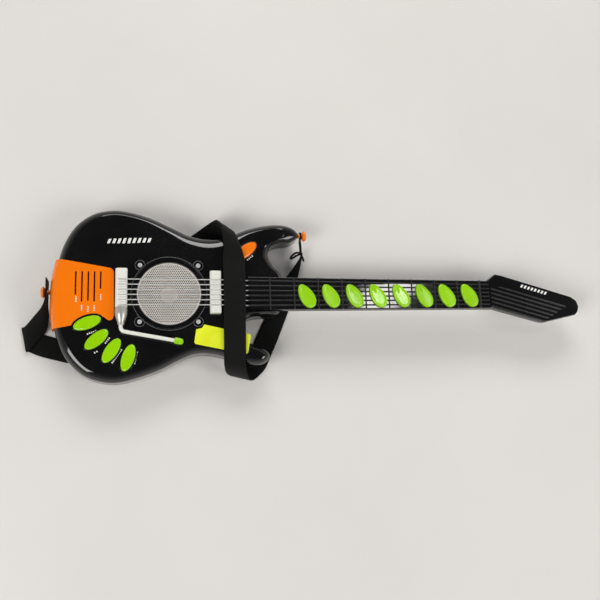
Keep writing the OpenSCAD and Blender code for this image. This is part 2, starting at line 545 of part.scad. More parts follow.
// thin tie from the gathered end of the strap to the horn peg
module strap_tie() color([0.12, 0.12, 0.12]) union() {
    translate([180.4, 86, 29.5]) rotate([0, 90, 0]) rotate_extrude() translate([4.5, 0]) circle(r = 1.2, $fn = 24);
    // two strands from the knot up to the loop
    for (s = [[0, 0], [-1, -1.5]]) translate([183.5 + s[0], 65, 14]) rotate([0, 0, 101]) rotate([0, 52, 0]) cylinder(r = 1.1, h = 21.8, $fn = 24);
    translate([183.5, 65.4, 13.6]) sphere(r = 2.9, $fn = 32);
}

// ---- plain label stuck on the face ----
module paper_label() color([0.93, 0.95, 0.1]) prism([[45.5, -41.5], [101, -54], [106, -54.5], [107, -57.5], [103, -79], [101, -81], [70, -75], [34, -67.5], [32.5, -65], [35, -48], [43, -46]],
    face_z + 0.05, face_z + 0.3);

front_shell();
back_shell();
tail_panel();
speaker_bezel();
speaker_grille();
grille_screws();
speaker_basket();
speaker_cone();
speaker_magnet();
bridge();
bridge_socket();
whammy_bar();
whammy_tip();
pickup();
strings();
style_button_1();
style_button_2();
style_button_3();
style_button_4();
horn_button();
body_keypad();
body_button_board();
horn_keypad();
horn_button_board();
neck_front();
neck_back();
fret_button_1();
fret_button_2();
fret_button_3();
fret_button_4();
fret_button_5();
fret_button_6();
fret_button_7();
fret_button_8();
fret_keypad();
fret_board_pcb();
main_board();
batteries();
battery_contacts();
battery_door();
battery_screw();
power_slider();
power_switch();
case_screws();
neck_screws();
tail_peg();
horn_peg();
strap();
strap_tie();
paper_label();
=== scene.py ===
import bpy, bmesh, math
from mathutils import Vector, Matrix, Quaternion


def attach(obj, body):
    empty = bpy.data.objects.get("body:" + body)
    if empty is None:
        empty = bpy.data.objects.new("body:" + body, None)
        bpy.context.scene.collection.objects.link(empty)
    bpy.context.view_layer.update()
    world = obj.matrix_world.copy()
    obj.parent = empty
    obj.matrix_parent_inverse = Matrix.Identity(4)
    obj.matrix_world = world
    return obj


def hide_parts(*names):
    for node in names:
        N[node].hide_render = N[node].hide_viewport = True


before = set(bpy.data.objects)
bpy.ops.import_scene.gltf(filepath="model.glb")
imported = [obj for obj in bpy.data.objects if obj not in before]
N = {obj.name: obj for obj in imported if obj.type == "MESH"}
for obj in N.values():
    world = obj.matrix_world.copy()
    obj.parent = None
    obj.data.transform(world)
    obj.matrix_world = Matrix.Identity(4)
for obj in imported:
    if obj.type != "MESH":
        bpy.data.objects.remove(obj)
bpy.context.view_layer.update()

COLL = bpy.context.scene.collection

# ------------------------------------------------------------ dimensions (mm, as in the model)
FACE, SPLIT, WALL, RIM_H, RIM_END = 45.0, 20.0, 2.5, 12.0, 68.0
PANEL_OUT, PANEL_T = 3.5, 1.6
FRET = 33.0
NECK_X0, NUT_X, NECK_TOP = 104.0, 430.5, 50.0


def fret_x(k):
    return 100.5 + FRET * k


def half_w(x):
    return 22.3 + (19.5 - 22.3) * (x - NECK_X0) / (NUT_X - NECK_X0)


OUTLINE = [
    [-149, 0, -141, 0], [-148, -30, -140, -29], [-143, -58, -134, -55], [-130, -85, -121, -80],
    [-110, -105, -104, -98], [-88, -114, -86, -105], [-66, -116, -67, -107], [-40, -110, -42, -101],
    [-12, -100, -15, -91], [14, -87, 11, -79], [36, -79, 36, -70], [60, -80, 59, -72],
    [84, -87, 84, -79], [106, -94, 104, -85], [124, -93, 118, -88], [133, -83, 123, -83],
    [126, -73, 117, -77], [110, -67, 106, -72], [99, -57, 93, -61], [97, -42, 91, -43],
    [106, -31, 100, -27], [124, -28, 123, -24], [144, -26, 142, -22], [152, -12, 148, -12],
    [152, 12, 148, 12], [150, 30, 145, 27], [140, 42, 134, 38], [134, 55, 125, 54],
    [138, 68, 129, 67], [150, 74, 142, 74], [166, 76, 151, 79], [177, 85, 154, 84],
    [170, 95, 152, 90], [154, 100, 144, 92], [132, 99, 128, 90], [106, 93, 106, 83],
    [80, 83, 84, 70], [54, 78, 56, 62], [28, 82, 26, 68], [4, 93, 1, 82],
    [-22, 105, -25, 96], [-48, 113, -49, 104], [-74, 116, -73, 107], [-100, 110, -96, 101],
    [-122, 93, -114, 87], [-136, 69, -127, 65], [-144, 42, -136, 39], [-148, 20, -140, 19]]


def cr(a, b, c, d, t):
    return [0.5 * (2 * q + (r - p) * t + (2 * p - 5 * q + 4 * r - s) * t * t + (3 * q - p - 3 * r + s) * t * t * t)
            for p, q, r, s in zip(a, b, c, d)]


def closed_curve(p, n):
    m = len(p)
    return [cr(p[i - 1], p[i], p[(i + 1) % m], p[(i + 2) % m], k / n) for i in range(m) for k in range(n)]


def open_curve(p, n):
    m = len(p)
    out = [cr(p[max(i - 1, 0)], p[i], p[i + 1], p[min(i + 2, m - 1)], k / n) for i in range(m - 1) for k in range(n)]
    return out + [list(p[-1])]


RES = 7
BODY = closed_curve(OUTLINE, RES)
NB = len(BODY)


def ring_pt(i, f, e, z):
    a, b, p = BODY[i - 1], BODY[(i + 1) % NB], BODY[i]
    d = (b[0] - a[0], b[1] - a[1])
    n = math.hypot(*d)
    nx, ny = d[1] / n, -d[0] / n
    return (p[0] * (1 - f) + p[2] * f + nx * e, p[1] * (1 - f) + p[3] * f + ny * e, z)


def ring(f, e, z):
    return [ring_pt(i, f, e, z) for i in range(NB)]


def rim_f(a):
    return (1 - math.cos(math.radians(a))) / (1 - math.cos(math.radians(RIM_END)))


def rim_z(a):
    return FACE - RIM_H + RIM_H * math.sin(math.radians(a)) / math.sin(math.radians(RIM_END))


# ------------------------------------------------------------ mesh helpers
def mesh_obj(name, verts, faces, mm=True, smooth=True):
    k = 0.001 if mm else 1.0
    me = bpy.data.meshes.new(name)
    me.from_pydata([(v[0] * k, v[1] * k, v[2] * k) for v in verts], [], faces)
    me.update()
    if smooth:
        me.polygons.foreach_set("use_smooth", [True] * len(me.polygons))
    o = bpy.data.objects.new(name, me)
    COLL.objects.link(o)
    return o


def loft_data(rings, cap0=True, cap1=True):
    n = len(rings[0])
    verts = [p for r in rings for p in r]
    faces = []
    for j in range(len(rings) - 1):
        for i in range(n):
            k = (i + 1) % n
            faces.append((j * n + i, j * n + k, (j + 1) * n + k, (j + 1) * n + i))
    if cap0:
        faces.append(tuple(range(n - 1, -1, -1)))
    if cap1:
        faces.append(tuple((len(rings) - 1) * n + i for i in range(n)))
    return verts, faces


def join_data(parts):
    verts, faces = [], []
    for v, f in parts:
        b = len(verts)
        verts += list(v)
        faces += [tuple(i + b for i in q) for q in f]
    return verts, faces


def prism_data(pts, z0, z1):
    return loft_data([[(p[0], p[1], z0) for p in pts], [(p[0], p[1], z1) for p in pts]])


def circle(r, cx=0, cy=0, n=64):
    return [(cx + r * math.cos(2 * math.pi * i / n), cy + r * math.sin(2 * math.pi * i / n)) for i in range(n)]


def rod_data(r, z0, z1, cx=0, cy=0, n=48):
    return prism_data(circle(r, cx, cy, n), z0, z1)


def box_data(x0, x1, y0, y1, z0, z1):
    return prism_data([(x0, y0), (x1, y0), (x1, y1), (x0, y1)], z0, z1)


def xrod_data(r, x0, x1, y, z, n=32):
    a = [(x0, y + r * math.cos(2 * math.pi * i / n), z + r * math.sin(2 * math.pi * i / n)) for i in range(n)]
    b = [(x1, p[1], p[2]) for p in a]
    return loft_data([a, b])


def placed(pts, at):
    c, s = math.cos(math.radians(at[2])), math.sin(math.radians(at[2]))
    return [(at[0] + p[0] * c - p[1] * s, at[1] + p[0] * s + p[1] * c) + tuple(p[2:]) for p in pts]


def oval(a, b, n=72):
    return [(a * math.cos(2 * math.pi * i / n), b * math.sin(2 * math.pi * i / n)) for i in range(n)]


def drop(a, b, n=72):
    return [(a * math.cos(2 * math.pi * i / n), (b + 1.1 * math.cos(2 * math.pi * i / n)) * math.sin(2 * math.pi * i / n))
            for i in range(n)]


def apply_mods(o):
    dg = bpy.context.evaluated_depsgraph_get()
    dg.update()
    me = bpy.data.meshes.new_from_object(o.evaluated_get(dg))
    o.modifiers.clear()
    old = o.data
    o.data = me
    bpy.data.meshes.remove(old)


def boolean(o, op, data):
    c = mesh_obj("cutter", *data, smooth=False)
    m = o.modifiers.new("cut", "BOOLEAN")
    m.operation, m.solver, m.object = op, "EXACT", c
    apply_mods(o)
    me = c.data
    bpy.data.objects.remove(c)
    bpy.data.meshes.remove(me)


def finish_mesh(o, bevel=0.0, angle=35.0, segs=2, weld=1e-5):
    """Joins loose corners, dissolves flat triangles, rounds the sharp edges and keeps flats flat."""
    if weld:
        m = o.modifiers.new("weld", "WELD"); m.merge_threshold = weld
    if bevel:
        m = o.modifiers.new("flat", "DECIMATE"); m.decimate_type = "DISSOLVE"; m.angle_limit = math.radians(0.6)
        m = o.modifiers.new("round", "BEVEL"); m.width = bevel; m.segments = segs; m.limit_method = "ANGLE"
        m.angle_limit = math.radians(angle); m.use_clamp_overlap = True; m.harden_normals = False
    m = o.modifiers.new("normals", "WEIGHTED_NORMAL"); m.mode = "FACE_AREA"; m.weight = 60; m.keep_sharp = True


def sharp_by_angle(o, deg=38):
    bm = bmesh.new(); bm.from_mesh(o.data)
    bmesh.ops.remove_doubles(bm, verts=bm.verts, dist=1e-6)
    lim = math.radians(deg)
    for e in bm.edges:
        e.smooth = not (len(e.link_faces) == 2 and e.calc_face_angle(0) > lim)
    for f in bm.faces:
        f.smooth = True
    bm.to_mesh(o.data); bm.free()


# ------------------------------------------------------------ materials
def new_mat(name):
    m = bpy.data.materials.new(name)
    m.use_nodes = True
    nt = m.node_tree
    for n in list(nt.nodes):
        nt.nodes.remove(n)
    out = nt.nodes.new("ShaderNodeOutputMaterial")
    b = nt.nodes.new("ShaderNodeBsdfPrincipled")
    nt.links.new(b.outputs[0], out.inputs[0])
    return m, nt, b


def noise(nt, vec, scale, detail=3, rough=0.55, dist=0.0):
    n = nt.nodes.new("ShaderNodeTexNoise")
    n.inputs["Scale"].default_value = scale
    n.inputs["Detail"].default_value = detail
    n.inputs["Roughness"].default_value = rough
    n.inputs["Distortion"].default_value = dist
    nt.links.new(vec, n.inputs["Vector"])
    return n.outputs["Fac"]


def rampf(nt, fac, pts):
    n = nt.nodes.new("ShaderNodeValToRGB")
    els = n.color_ramp.elements
    while len(els) > len(pts):
        els.remove(els[-1])
    while len(els) < len(pts):
        els.new(0.5)
    for e, (p, c) in zip(els, pts):
        e.position = p
        e.color = (c[0], c[1], c[2], 1) if isinstance(c, (tuple, list)) else (c, c, c, 1)
    nt.links.new(fac, n.inputs[0])
    return n.outputs[0]


def mathn(nt, op, a, b):
    n = nt.nodes.new("ShaderNodeMath")
    n.operation = op
    for i, v in enumerate((a, b)):
        if isinstance(v, (int, float)):
            n.inputs[i].default_value = v
        else:
            nt.links.new(v, n.inputs[i])
    return n.outputs[0]


def bumpn(nt, height, strength, dist, normal=None):
    n = nt.nodes.new("ShaderNodeBump")
    n.inputs["Strength"].default_value = strength
    n.inputs["Distance"].default_value = dist
    nt.links.new(height, n.inputs["Height"])
    if normal is not None:
        nt.links.new(normal, n.inputs["Normal"])
    return n.outputs[0]


def objvec(nt, scale=None):
    tc = nt.nodes.new("ShaderNodeTexCoord")
    if scale is None:
        return tc.outputs["Object"]
    mp = nt.nodes.new("ShaderNodeMapping")
    mp.inputs["Scale"].default_value = scale
    nt.links.new(tc.outputs["Object"], mp.inputs["Vector"])
    return mp.outputs[0]


def lin(c):
    return tuple(((v / 255) / 12.92) if v / 255 <= 0.04045 else (((v / 255) + 0.055) / 1.055) ** 2.4 for v in c)


def plastic(name, rgb, rough=0.25, var=0.12, grain=900, grain_h=0.00002, coat=0.0, metal=0.0, smudge=0.1, spec=0.5,
            streak=None, dust=0.0, sub=0.0):
    """Moulded plastic: cloudy tone, handling marks in the roughness, fine moulded grain as bump."""
    m, nt, b = new_mat(name)
    v = objvec(nt)
    c = lin(rgb)
    cloud = noise(nt, v, 22, 4)
    lo = tuple(x * (1 - var) for x in c)
    hi = tuple(min(1, x * (1 + var * 0.7) + 0.0008) for x in c)
    col = rampf(nt, cloud, [(0.3, lo), (0.7, hi)])
    if dust:
        specks = rampf(nt, noise(nt, v, 1500, 1), [(0.70, 0.0), (0.76, 1.0)])
        patch = rampf(nt, noise(nt, v, 14, 3), [(0.45, 0.0), (0.7, 1.0)])
        fac = mathn(nt, "MULTIPLY", mathn(nt, "MULTIPLY", specks, patch), dust)
        mx = nt.nodes.new("ShaderNodeMix"); mx.data_type = "RGBA"
        nt.links.new(fac, mx.inputs[0]); nt.links.new(col, mx.inputs[6]); mx.inputs[7].default_value = (0.35, 0.34, 0.32, 1)
        col = mx.outputs[2]
    nt.links.new(col, b.inputs["Base Color"])
    marks = noise(nt, objvec(nt, (60, 9, 30)) if streak is None else objvec(nt, streak), 1.5, 6, 0.65, 0.4)
    r = rampf(nt, marks, [(0.35, max(0.03, rough - smudge * 0.4)), (0.5, rough), (0.75, rough + smudge)])
    nt.links.new(r, b.inputs["Roughness"])
    h = noise(nt, v, grain, 2)
    nt.links.new(bumpn(nt, h, 0.6, grain_h), b.inputs["Normal"])
    b.inputs["Metallic"].default_value = metal
    b.inputs["Specular IOR Level"].default_value = spec
    b.inputs["Coat Weight"].default_value = coat
    b.inputs["Coat Roughness"].default_value = 0.05
    if sub:
        b.inputs["Subsurface Weight"].default_value = sub
        b.inputs["Subsurface Radius"].default_value = (0.004, 0.003, 0.001)
        b.inputs["Subsurface Scale"].default_value = 1.0
    return m


M = {
    "shell": plastic("gloss_black_shell", (13, 13, 14), 0.09, 0.3, 120, 0.000012, 0.35, smudge=0.12, dust=0.25),
    "shell_in": plastic("gloss_black_back", (16, 16, 17), 0.16, 0.3, 300, 0.00002, 0.1, smudge=0.15, dust=0.2),
    "neck": plastic("satin_black_neck", (24, 24, 25), 0.30, 0.18, 700, 0.00003, 0.0, smudge=0.05, dust=0.1),
    "board_gloss": plastic("gloss_black_board", (14, 14, 15), 0.07, 0.3, 200, 0.00001, 0.3, smudge=0.08, dust=0.2),
    "fret": plastic("satin_black_fret", (44, 44, 45), 0.3, 0.2, 700, 0.00002, smudge=0.1),
    # light grey for the speaker ring's lips: a painted highlight along the black bezel's edges
    "lip": plastic("painted_highlight_edge", (96, 96, 96), 0.35, 0.15, 700, 0.00002, smudge=0.1),
    "cap": plastic("silver_dust_cap", (236, 236, 234), 0.3, 0.05, 600, 0.00002, metal=0.2),
    "bezel": plastic("black_bezel", (10, 10, 11), 0.2, 0.2, 500, 0.00002, smudge=0.1),
    "orange": plastic("orange_plastic", (255, 124, 3), 0.24, 0.035, 500, 0.00001, 0.25, smudge=0.03, streak=(25, 25, 25)),
    "green": plastic("lime_plastic", (152, 216, 2), 0.17, 0.07, 1400, 0.00004, 0.2, smudge=0.1),
    "white": plastic("offwhite_plastic", (236, 236, 228), 0.32, 0.05, 600, 0.00002, smudge=0.1),
    "silver": plastic("silver_plastic", (196, 196, 190), 0.3, 0.06, 900, 0.00002, metal=0.5),
    "grille": plastic("grey_grille", (222, 216, 210), 0.4, 0.06, 1500, 0.00003, metal=0.1),
    "screw": plastic("plated_screw", (225, 225, 226), 0.38, 0.06, 1500, 0.00002, metal=0.45, streak=(400, 20, 400)),
    "string": plastic("silver_string", (214, 214, 212), 0.32, 0.08, 2500, 0.00002, metal=0.25, streak=(3000, 4, 4)),
    "basket": plastic("speaker_basket_grey", (70, 70, 72), 0.4, 0.15, 500, 0.00003, metal=0.6),
    "cone": plastic("paper_cone", (92, 89, 84), 0.8, 0.1, 900, 0.0001, smudge=0.1),
    "magnet": plastic("magnet_grey", (70, 70, 74), 0.6, 0.2, 900, 0.00005),
    "rubber": plastic("keypad_rubber", (196, 196, 192), 0.7, 0.08, 900, 0.00004),
    "board": plastic("green_board", (18, 92, 48), 0.35, 0.2, 400, 0.00005),
    "battery": plastic("battery_wrap", (60, 120, 132), 0.25, 0.15, 300, 0.00001, metal=0.3),
    "contact": plastic("sprung_steel", (190, 190, 188), 0.25, 0.1, 900, 0.00002, metal=1.0, streak=(300, 10, 10)),
    "mark": plastic("printed_white", (238, 238, 234), 0.45, 0.06, 1500, 0.00001),
}


def webbing():
    """Woven polyester webbing: ribs across, twill along, fuzzy sheen, worn tone; the colour is darker in the weave's
    low parts, which is painted shade.
    """
    m, nt, b = new_mat("black_webbing")
    uv = nt.nodes.new("ShaderNodeUVMap"); uv.uv_map = "UVMap"
    sep = nt.nodes.new("ShaderNodeSeparateXYZ"); nt.links.new(uv.outputs[0], sep.inputs[0])
    u, w = sep.outputs[0], sep.outputs[1]
    rib = mathn(nt, "ABSOLUTE", mathn(nt, "SINE", mathn(nt, "MULTIPLY", u, math.pi / 0.0016), 0), 0)
    yarn = mathn(nt, "ABSOLUTE", mathn(nt, "SINE", mathn(nt, "ADD", mathn(nt, "MULTIPLY", w, math.pi / 0.0012),
                 mathn(nt, "MULTIPLY", u, math.pi / 0.0032)), 0), 0)
    h = mathn(nt, "MULTIPLY", mathn(nt, "ADD", mathn(nt, "MULTIPLY", rib, 0.6), 0.4), mathn(nt, "ADD", mathn(nt, "MULTIPLY", yarn, 0.7), 0.3))
    v = objvec(nt)
    fuzz = noise(nt, v, 2600, 2)
    # colour follows the weave height: painted shade darkens the weave's low parts, and the noise adds random tone
    tone = rampf(nt, mathn(nt, "ADD", mathn(nt, "MULTIPLY", h, 0.7), mathn(nt, "MULTIPLY", noise(nt, v, 30, 3), 0.3)),
                 [(0.1, lin((2, 2, 2))), (0.5, lin((8, 8, 8))), (0.9, lin((24, 23, 22)))])
    nt.links.new(tone, b.inputs["Base Color"])
    nt.links.new(rampf(nt, fuzz, [(0.3, 0.62), (0.7, 0.9)]), b.inputs["Roughness"])
    nt.links.new(bumpn(nt, fuzz, 0.3, 0.0001, bumpn(nt, h, 0.9, 0.00045)), b.inputs["Normal"])
    b.inputs["Sheen Weight"].default_value = 0.06
    b.inputs["Sheen Roughness"].default_value = 0.5
    b.inputs["Specular IOR Level"].default_value = 0.15
    return m


def paper():
    """Coated yellow paper with faint creases and fibres."""
    m, nt, b = new_mat("yellow_paper")
    v = objvec(nt)
    fib = noise(nt, v, 900, 4)
    cre = noise(nt, objvec(nt, (35, 60, 1)), 1.2, 2, 0.5, 0.6)
    ridge = rampf(nt, cre, [(0.44, 0.0), (0.5, 1.0), (0.56, 0.0)])
    nt.links.new(rampf(nt, noise(nt, v, 40, 3), [(0.3, lin((222, 232, 20))), (0.7, lin((240, 248, 40)))]), b.inputs["Base Color"])
    nt.links.new(rampf(nt, fib, [(0.3, 0.42), (0.7, 0.6)]), b.inputs["Roughness"])
    nt.links.new(bumpn(nt, fib, 0.3, 0.00004, bumpn(nt, ridge, 0.35, 0.0003)), b.inputs["Normal"])
    return m


M["web"] = webbing()
M["paper"] = paper()


def outward(o):
    """Turns every closed part of the mesh so that its faces look outwards."""
    bm_ = bmesh.new(); bm_.from_mesh(o.data)
    bmesh.ops.recalc_face_normals(bm_, faces=bm_.faces)
    bm_.to_mesh(o.data); bm_.free()


def give(o, key):
    o.data.materials.clear()
    o.data.materials.append(M[key])


# ------------------------------------------------------------ camera
yaw, pitch, roll = math.radians(-10.23), math.radians(-11.96), math.radians(-1.92)
cy, sy, cp, sp, crr, srr = math.cos(yaw), math.sin(yaw), math.cos(pitch), math.sin(pitch), math.cos(roll), math.sin(roll)
R = Matrix(((crr, -srr, 0), (srr, crr, 0), (0, 0, 1))) @ Matrix(((1, 0, 0), (0, cp, -sp), (0, sp, cp))) \
    @ Matrix(((cy, 0, sy), (0, 1, 0), (-sy, 0, cy))) @ Matrix(((1, 0, 0), (0, -1, 0), (0, 0, -1)))
loc = -(R.transposed() @ Vector((-0.1800, 0.0009, 1.1000)))
mat = Matrix((R[0], -R[1], -R[2])).transposed().to_4x4()
mat.translation = loc
cd = bpy.data.cameras.new("camera")
cd.lens, cd.sensor_width = 48.13, 36.0
cd.clip_start, cd.clip_end = 0.01, 50
cam = bpy.data.objects.new("camera", cd)
COLL.objects.link(cam)
cam.matrix_world = mat
bpy.context.scene.camera = cam

# ------------------------------------------------------------ floor, world, lights
fl = mesh_obj("floor", [(-4, -4, 0), (4, -4, 0), (4, 4, 0), (-4, 4, 0)], [(0, 1, 2, 3)], mm=False)
fm, nt, b = new_mat("pale_floor")
v = objvec(nt)
nt.links.new(rampf(nt, noise(nt, v, 3, 4), [(0.3, (0.74, 0.725, 0.70)), (0.7, (0.78, 0.765, 0.74))]), b.inputs["Base Color"])
b.inputs["Roughness"].default_value = 0.75
nt.links.new(bumpn(nt, noise(nt, v, 300, 3), 0.2, 0.0001), b.inputs["Normal"])
fl.data.materials.append(fm)

w = bpy.data.worlds.new("studio")
bpy.context.scene.world = w
w.use_nodes = True
nt = w.node_tree
bg = nt.nodes["Background"]
tc = nt.nodes.new("ShaderNodeTexCoord")
sep = nt.nodes.new("ShaderNodeSeparateXYZ")
nt.links.new(tc.outputs["Generated"], sep.inputs[0])
col = rampf(nt, sep.outputs[2], [(0.0, (0.9, 0.89, 0.87)), (0.3, (0.45, 0.45, 0.45)), (0.7, (0.10, 0.10, 0.105)), (1.0, (0.05, 0.05, 0.055))])
nt.links.new(col, bg.inputs[0])
bg.inputs[1].default_value = 0.8


def area(name, pos, target, size, power, size_y=None, color=(1, 0.985, 0.96)):
    l = bpy.data.lights.new(name, "AREA")
    l.energy, l.size, l.color = power, size, color
    if size_y:
        l.shape, l.size_y = "RECTANGLE", size_y
    o = bpy.data.objects.new(name, l)
    COLL.objects.link(o)
    o.location = pos
    o.rotation_euler = (Vector(target) - Vector(pos)).to_track_quat("-Z", "Y").to_euler()
    return o


bpy.context.scene.view_settings.view_transform = "Standard"
area("key", (-1.25, -0.9, 1.5), (0.1, 0, 0), 1.1, 26)
area("fill", (1.7, -0.8, 1.3), (0.2, 0, 0), 1.0, 18)
area("back", (0.2, 1.7, 1.2), (0.2, 0, 0), 1.5, 20, 0.7)
area("glint", (0.73, 0.33, 1.5), (0.33, 0, 0.05), 0.11, 1.1, 0.2)

# ------------------------------------------------------------ body shells
BOSSES = [(-125, 58), (-133, -30), (-104, -88), (-20, -84), (60, -62), (-70, 92), (0, 72), (128, 84)]
BOLTS = [(112, 9), (112, -9), (137, 9), (137, -9)]
STYLE = [(-104, -39.5, 20), (-92, -61, 40), (-73, -75.5, 57), (-52, -85, 72)]
HORN = (101, 58.5, 38)
OA, OB, PROUD = 18.0, 8.0, 2.6
SCREWS = [(x, y) for x in (-38, 38) for y in (-38, 38)]


def revolve(profile, cx=0, cy=0, n=96, cap=True):
    rings = [[(cx + r * math.cos(2 * math.pi * i / n), cy + r * math.sin(2 * math.pi * i / n), z) for i in range(n)] for r, z in profile]
    return loft_data(rings, cap, cap)


A = [0, 7, 14, 21, 28, 35, 42, 49, 56, 62, 66, RIM_END]
rings = [ring(0, 0, SPLIT + 0.35), ring(0, 0, SPLIT + 0.6)] + [ring(rim_f(a), 0, rim_z(a)) for a in A]
rings[0] = ring(0, -0.3, SPLIT + 0.05)
front = mesh_obj("front_shell_smooth", *loft_data(rings))
boolean(front, "DIFFERENCE", loft_data([ring(0, -WALL, SPLIT - 1), ring(0, -WALL, FACE - RIM_H), ring(0.3, -WALL, FACE - WALL - 3.2),
                                        ring(1, -1.5, FACE - WALL)]))
cuts = [revolve([(44, 30), (44, FACE - 1.5), (50.2, FACE - 1.5), (50.2, 55)]), box_data(103.5, 160, -22.9, 22.9, 25.8, 60),
        xrod_data(3.05, -160, -130, 4, 29.5), xrod_data(3.05, 168, 188, 86, 29.5)]
cuts += [prism_data(placed(oval(OA + 0.5, OB + 0.5), p), 36, 50) for p in STYLE] + [prism_data(placed(oval(OA + 1.5, OB + 0.5), HORN), 36, 50)]
boolean(front, "DIFFERENCE", join_data(cuts))
boolean(front, "DIFFERENCE", join_data([rod_data(7.2, FACE - 1.5, 55, x, y) for x, y in SCREWS]))
sharp_by_angle(front, 18)
print("front", [[round(min(v.co[i] for v in front.data.vertices), 4), round(max(v.co[i] for v in front.data.vertices), 4)] for i in range(3)])
finish_mesh(front, 0)
give(front, "shell")
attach(front, "body")

# raised collars round the ovals, with rounded lips
col_parts = []
for p, da in [(q, 1.9) for q in STYLE] + [(HORN, 2.9)]:
    outer, inner = (OA + da, OB + 1.9), (OA + da - 1.4, OB + 0.5)
    prof = [(outer, FACE - 0.6), (outer, FACE + 0.55)]
    for t in (20, 45, 70, 90):
        s, c = math.sin(math.radians(t)), 1 - math.cos(math.radians(t))
        prof.append(((outer[0] - 0.45 * c, outer[1] - 0.45 * c), FACE + 0.55 + 0.45 * s))
    for t in (90, 60, 30, 0):
        s, c = math.sin(math.radians(t)), 1 - math.cos(math.radians(t))
        prof.append(((inner[0] + 0.3 * c, inner[1] + 0.3 * c), FACE + 0.7 + 0.3 * s))
    prof.append((inner, FACE - 2.0))
    prof.append((outer, FACE - 2.0))
    prof.append(prof[0])
    col_parts.append(loft_data([[q + (z,) for q in placed(oval(*ab), p)] for ab, z in prof], False, False))
collars = mesh_obj("button_collars", *join_data(col_parts))
sharp_by_angle(collars, 50)
outward(collars)
give(collars, "bezel")
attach(collars, "body")

# posts and bosses hidden inside the front shell
inside = [rod_data(4, SPLIT + 0.1, FACE - WALL + 0.3, x, y, 24) for x, y in BOSSES] + \
    [rod_data(4.5, FACE - 14, FACE - 2.2, x, y, 24) for x, y in SCREWS]
posts = mesh_obj("front_shell_bosses", *join_data(inside), smooth=False)
give(posts, "shell_in")
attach(posts, "body")
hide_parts("front_shell"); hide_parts("front_shell"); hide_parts("front_shell")

BAY = (18, 78, -26, 22)
rings = [ring(0.66 * (1 - math.cos(math.radians(a))), 0, 12 - 9 * math.sin(math.radians(a))) for a in (90, 80, 70, 60, 50, 40, 30, 20, 10, 0)]
rings += [ring(0, 0, SPLIT - 0.4), ring(0, -0.3, SPLIT - 0.02)]
back = mesh_obj("back_shell_smooth", *loft_data(rings))
boolean(back, "DIFFERENCE", loft_data([ring(0.7, -WALL, 3 + WALL), ring(0.3, -WALL, 8), ring(0, -WALL, 13), ring(0, -WALL, SPLIT + 1)]))


def rounded(pts, r, n=5):
    out = []
    m = len(pts)
    for i in range(m):
        p, a, c = Vector(pts[i]), Vector(pts[i - 1]), Vector(pts[(i + 1) % m])
        u, w_ = (a - p).normalized(), (c - p).normalized()
        ang = u.angle(w_)
        d = min(r / math.tan(ang / 2), (a - p).length * 0.45, (c - p).length * 0.45)
        s, e = p + u * d, p + w_ * d
        for k in range(n + 1):
            t = k / n
            q = s * (1 - t) ** 2 + p * 2 * t * (1 - t) + e * t * t
            out.append((q.x, q.y))
    return out


def inset(pts, d):
    out = []
    m = len(pts)
    for i in range(m):
        a, c = pts[i - 1], pts[(i + 1) % m]
        dx, dy = c[0] - a[0], c[1] - a[1]
        n = math.hypot(dx, dy)
        out.append((pts[i][0] - dy / n * d, pts[i][1] + dx / n * d))
    return out


pads = [[(-44, -64), (86, -64), (86, 34), (20, 32), (-30, -34)],
        [(-118, -14), (-76, -14), (-32, 52), (-32, 86), (-78, 94), (-118, 62)],
        [(100, -20), (124, -20), (140, 18), (140, 22), (100, 24)]]
adds = []
for i, p in enumerate(pads):
    q = rounded(p, 5)
    rr = [(0.8, 0.0), (0.25, 0.25), (0.0, 0.8), (0.0, 3.9)]
    adds.append(loft_data([[c + (z,) for c in inset(q, d)] for d, z in rr]))
boolean(back, "UNION", join_data(adds))
boolean(back, "UNION", join_data([box_data(BAY[0] - 2, BAY[1] + 2, BAY[2] - 2, BAY[3] + 2, 4.1, 20.4), box_data(-98, -74, 61, 75, 4.1, 6.6)]
        + [rod_data(4.2, 4.2, SPLIT - 0.1, x, y, 32) for x, y in BOSSES] + [rod_data(4.5, 4.2, 25.7, x, y, 32) for x, y in BOLTS]))
boolean(back, "DIFFERENCE", join_data([box_data(BAY[0], BAY[1], BAY[2], BAY[3], -1, 18.6), box_data(-93, -79, 65, 71, 1, 12),
        box_data(-96, -76, 63, 73, -1, 2.4)] + [revolve([(3.3, -1), (3.3, 8), (1.7, 8), (1.7, 30)], x, y, 40) for x, y in BOSSES + BOLTS]))
sharp_by_angle(back, 24)
print("back", [[round(min(v.co[i] for v in back.data.vertices), 4), round(max(v.co[i] for v in back.data.vertices), 4)] for i in range(3)])
finish_mesh(back, 0)
give(back, "shell_in")
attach(back, "body"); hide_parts("back_shell")

# ------------------------------------------------------------ tail panel
half = 13 * RES // 3 * 1
tail_i = [(NB - 13 * RES // 3 + k) % NB for k in range(2 * (13 * RES // 3) + 1)]


def tail_ring(f, e, z):
    return [ring_pt(i, f, e, z) for i in tail_i] + [(-62, -50, z), (-62, 50, z)]


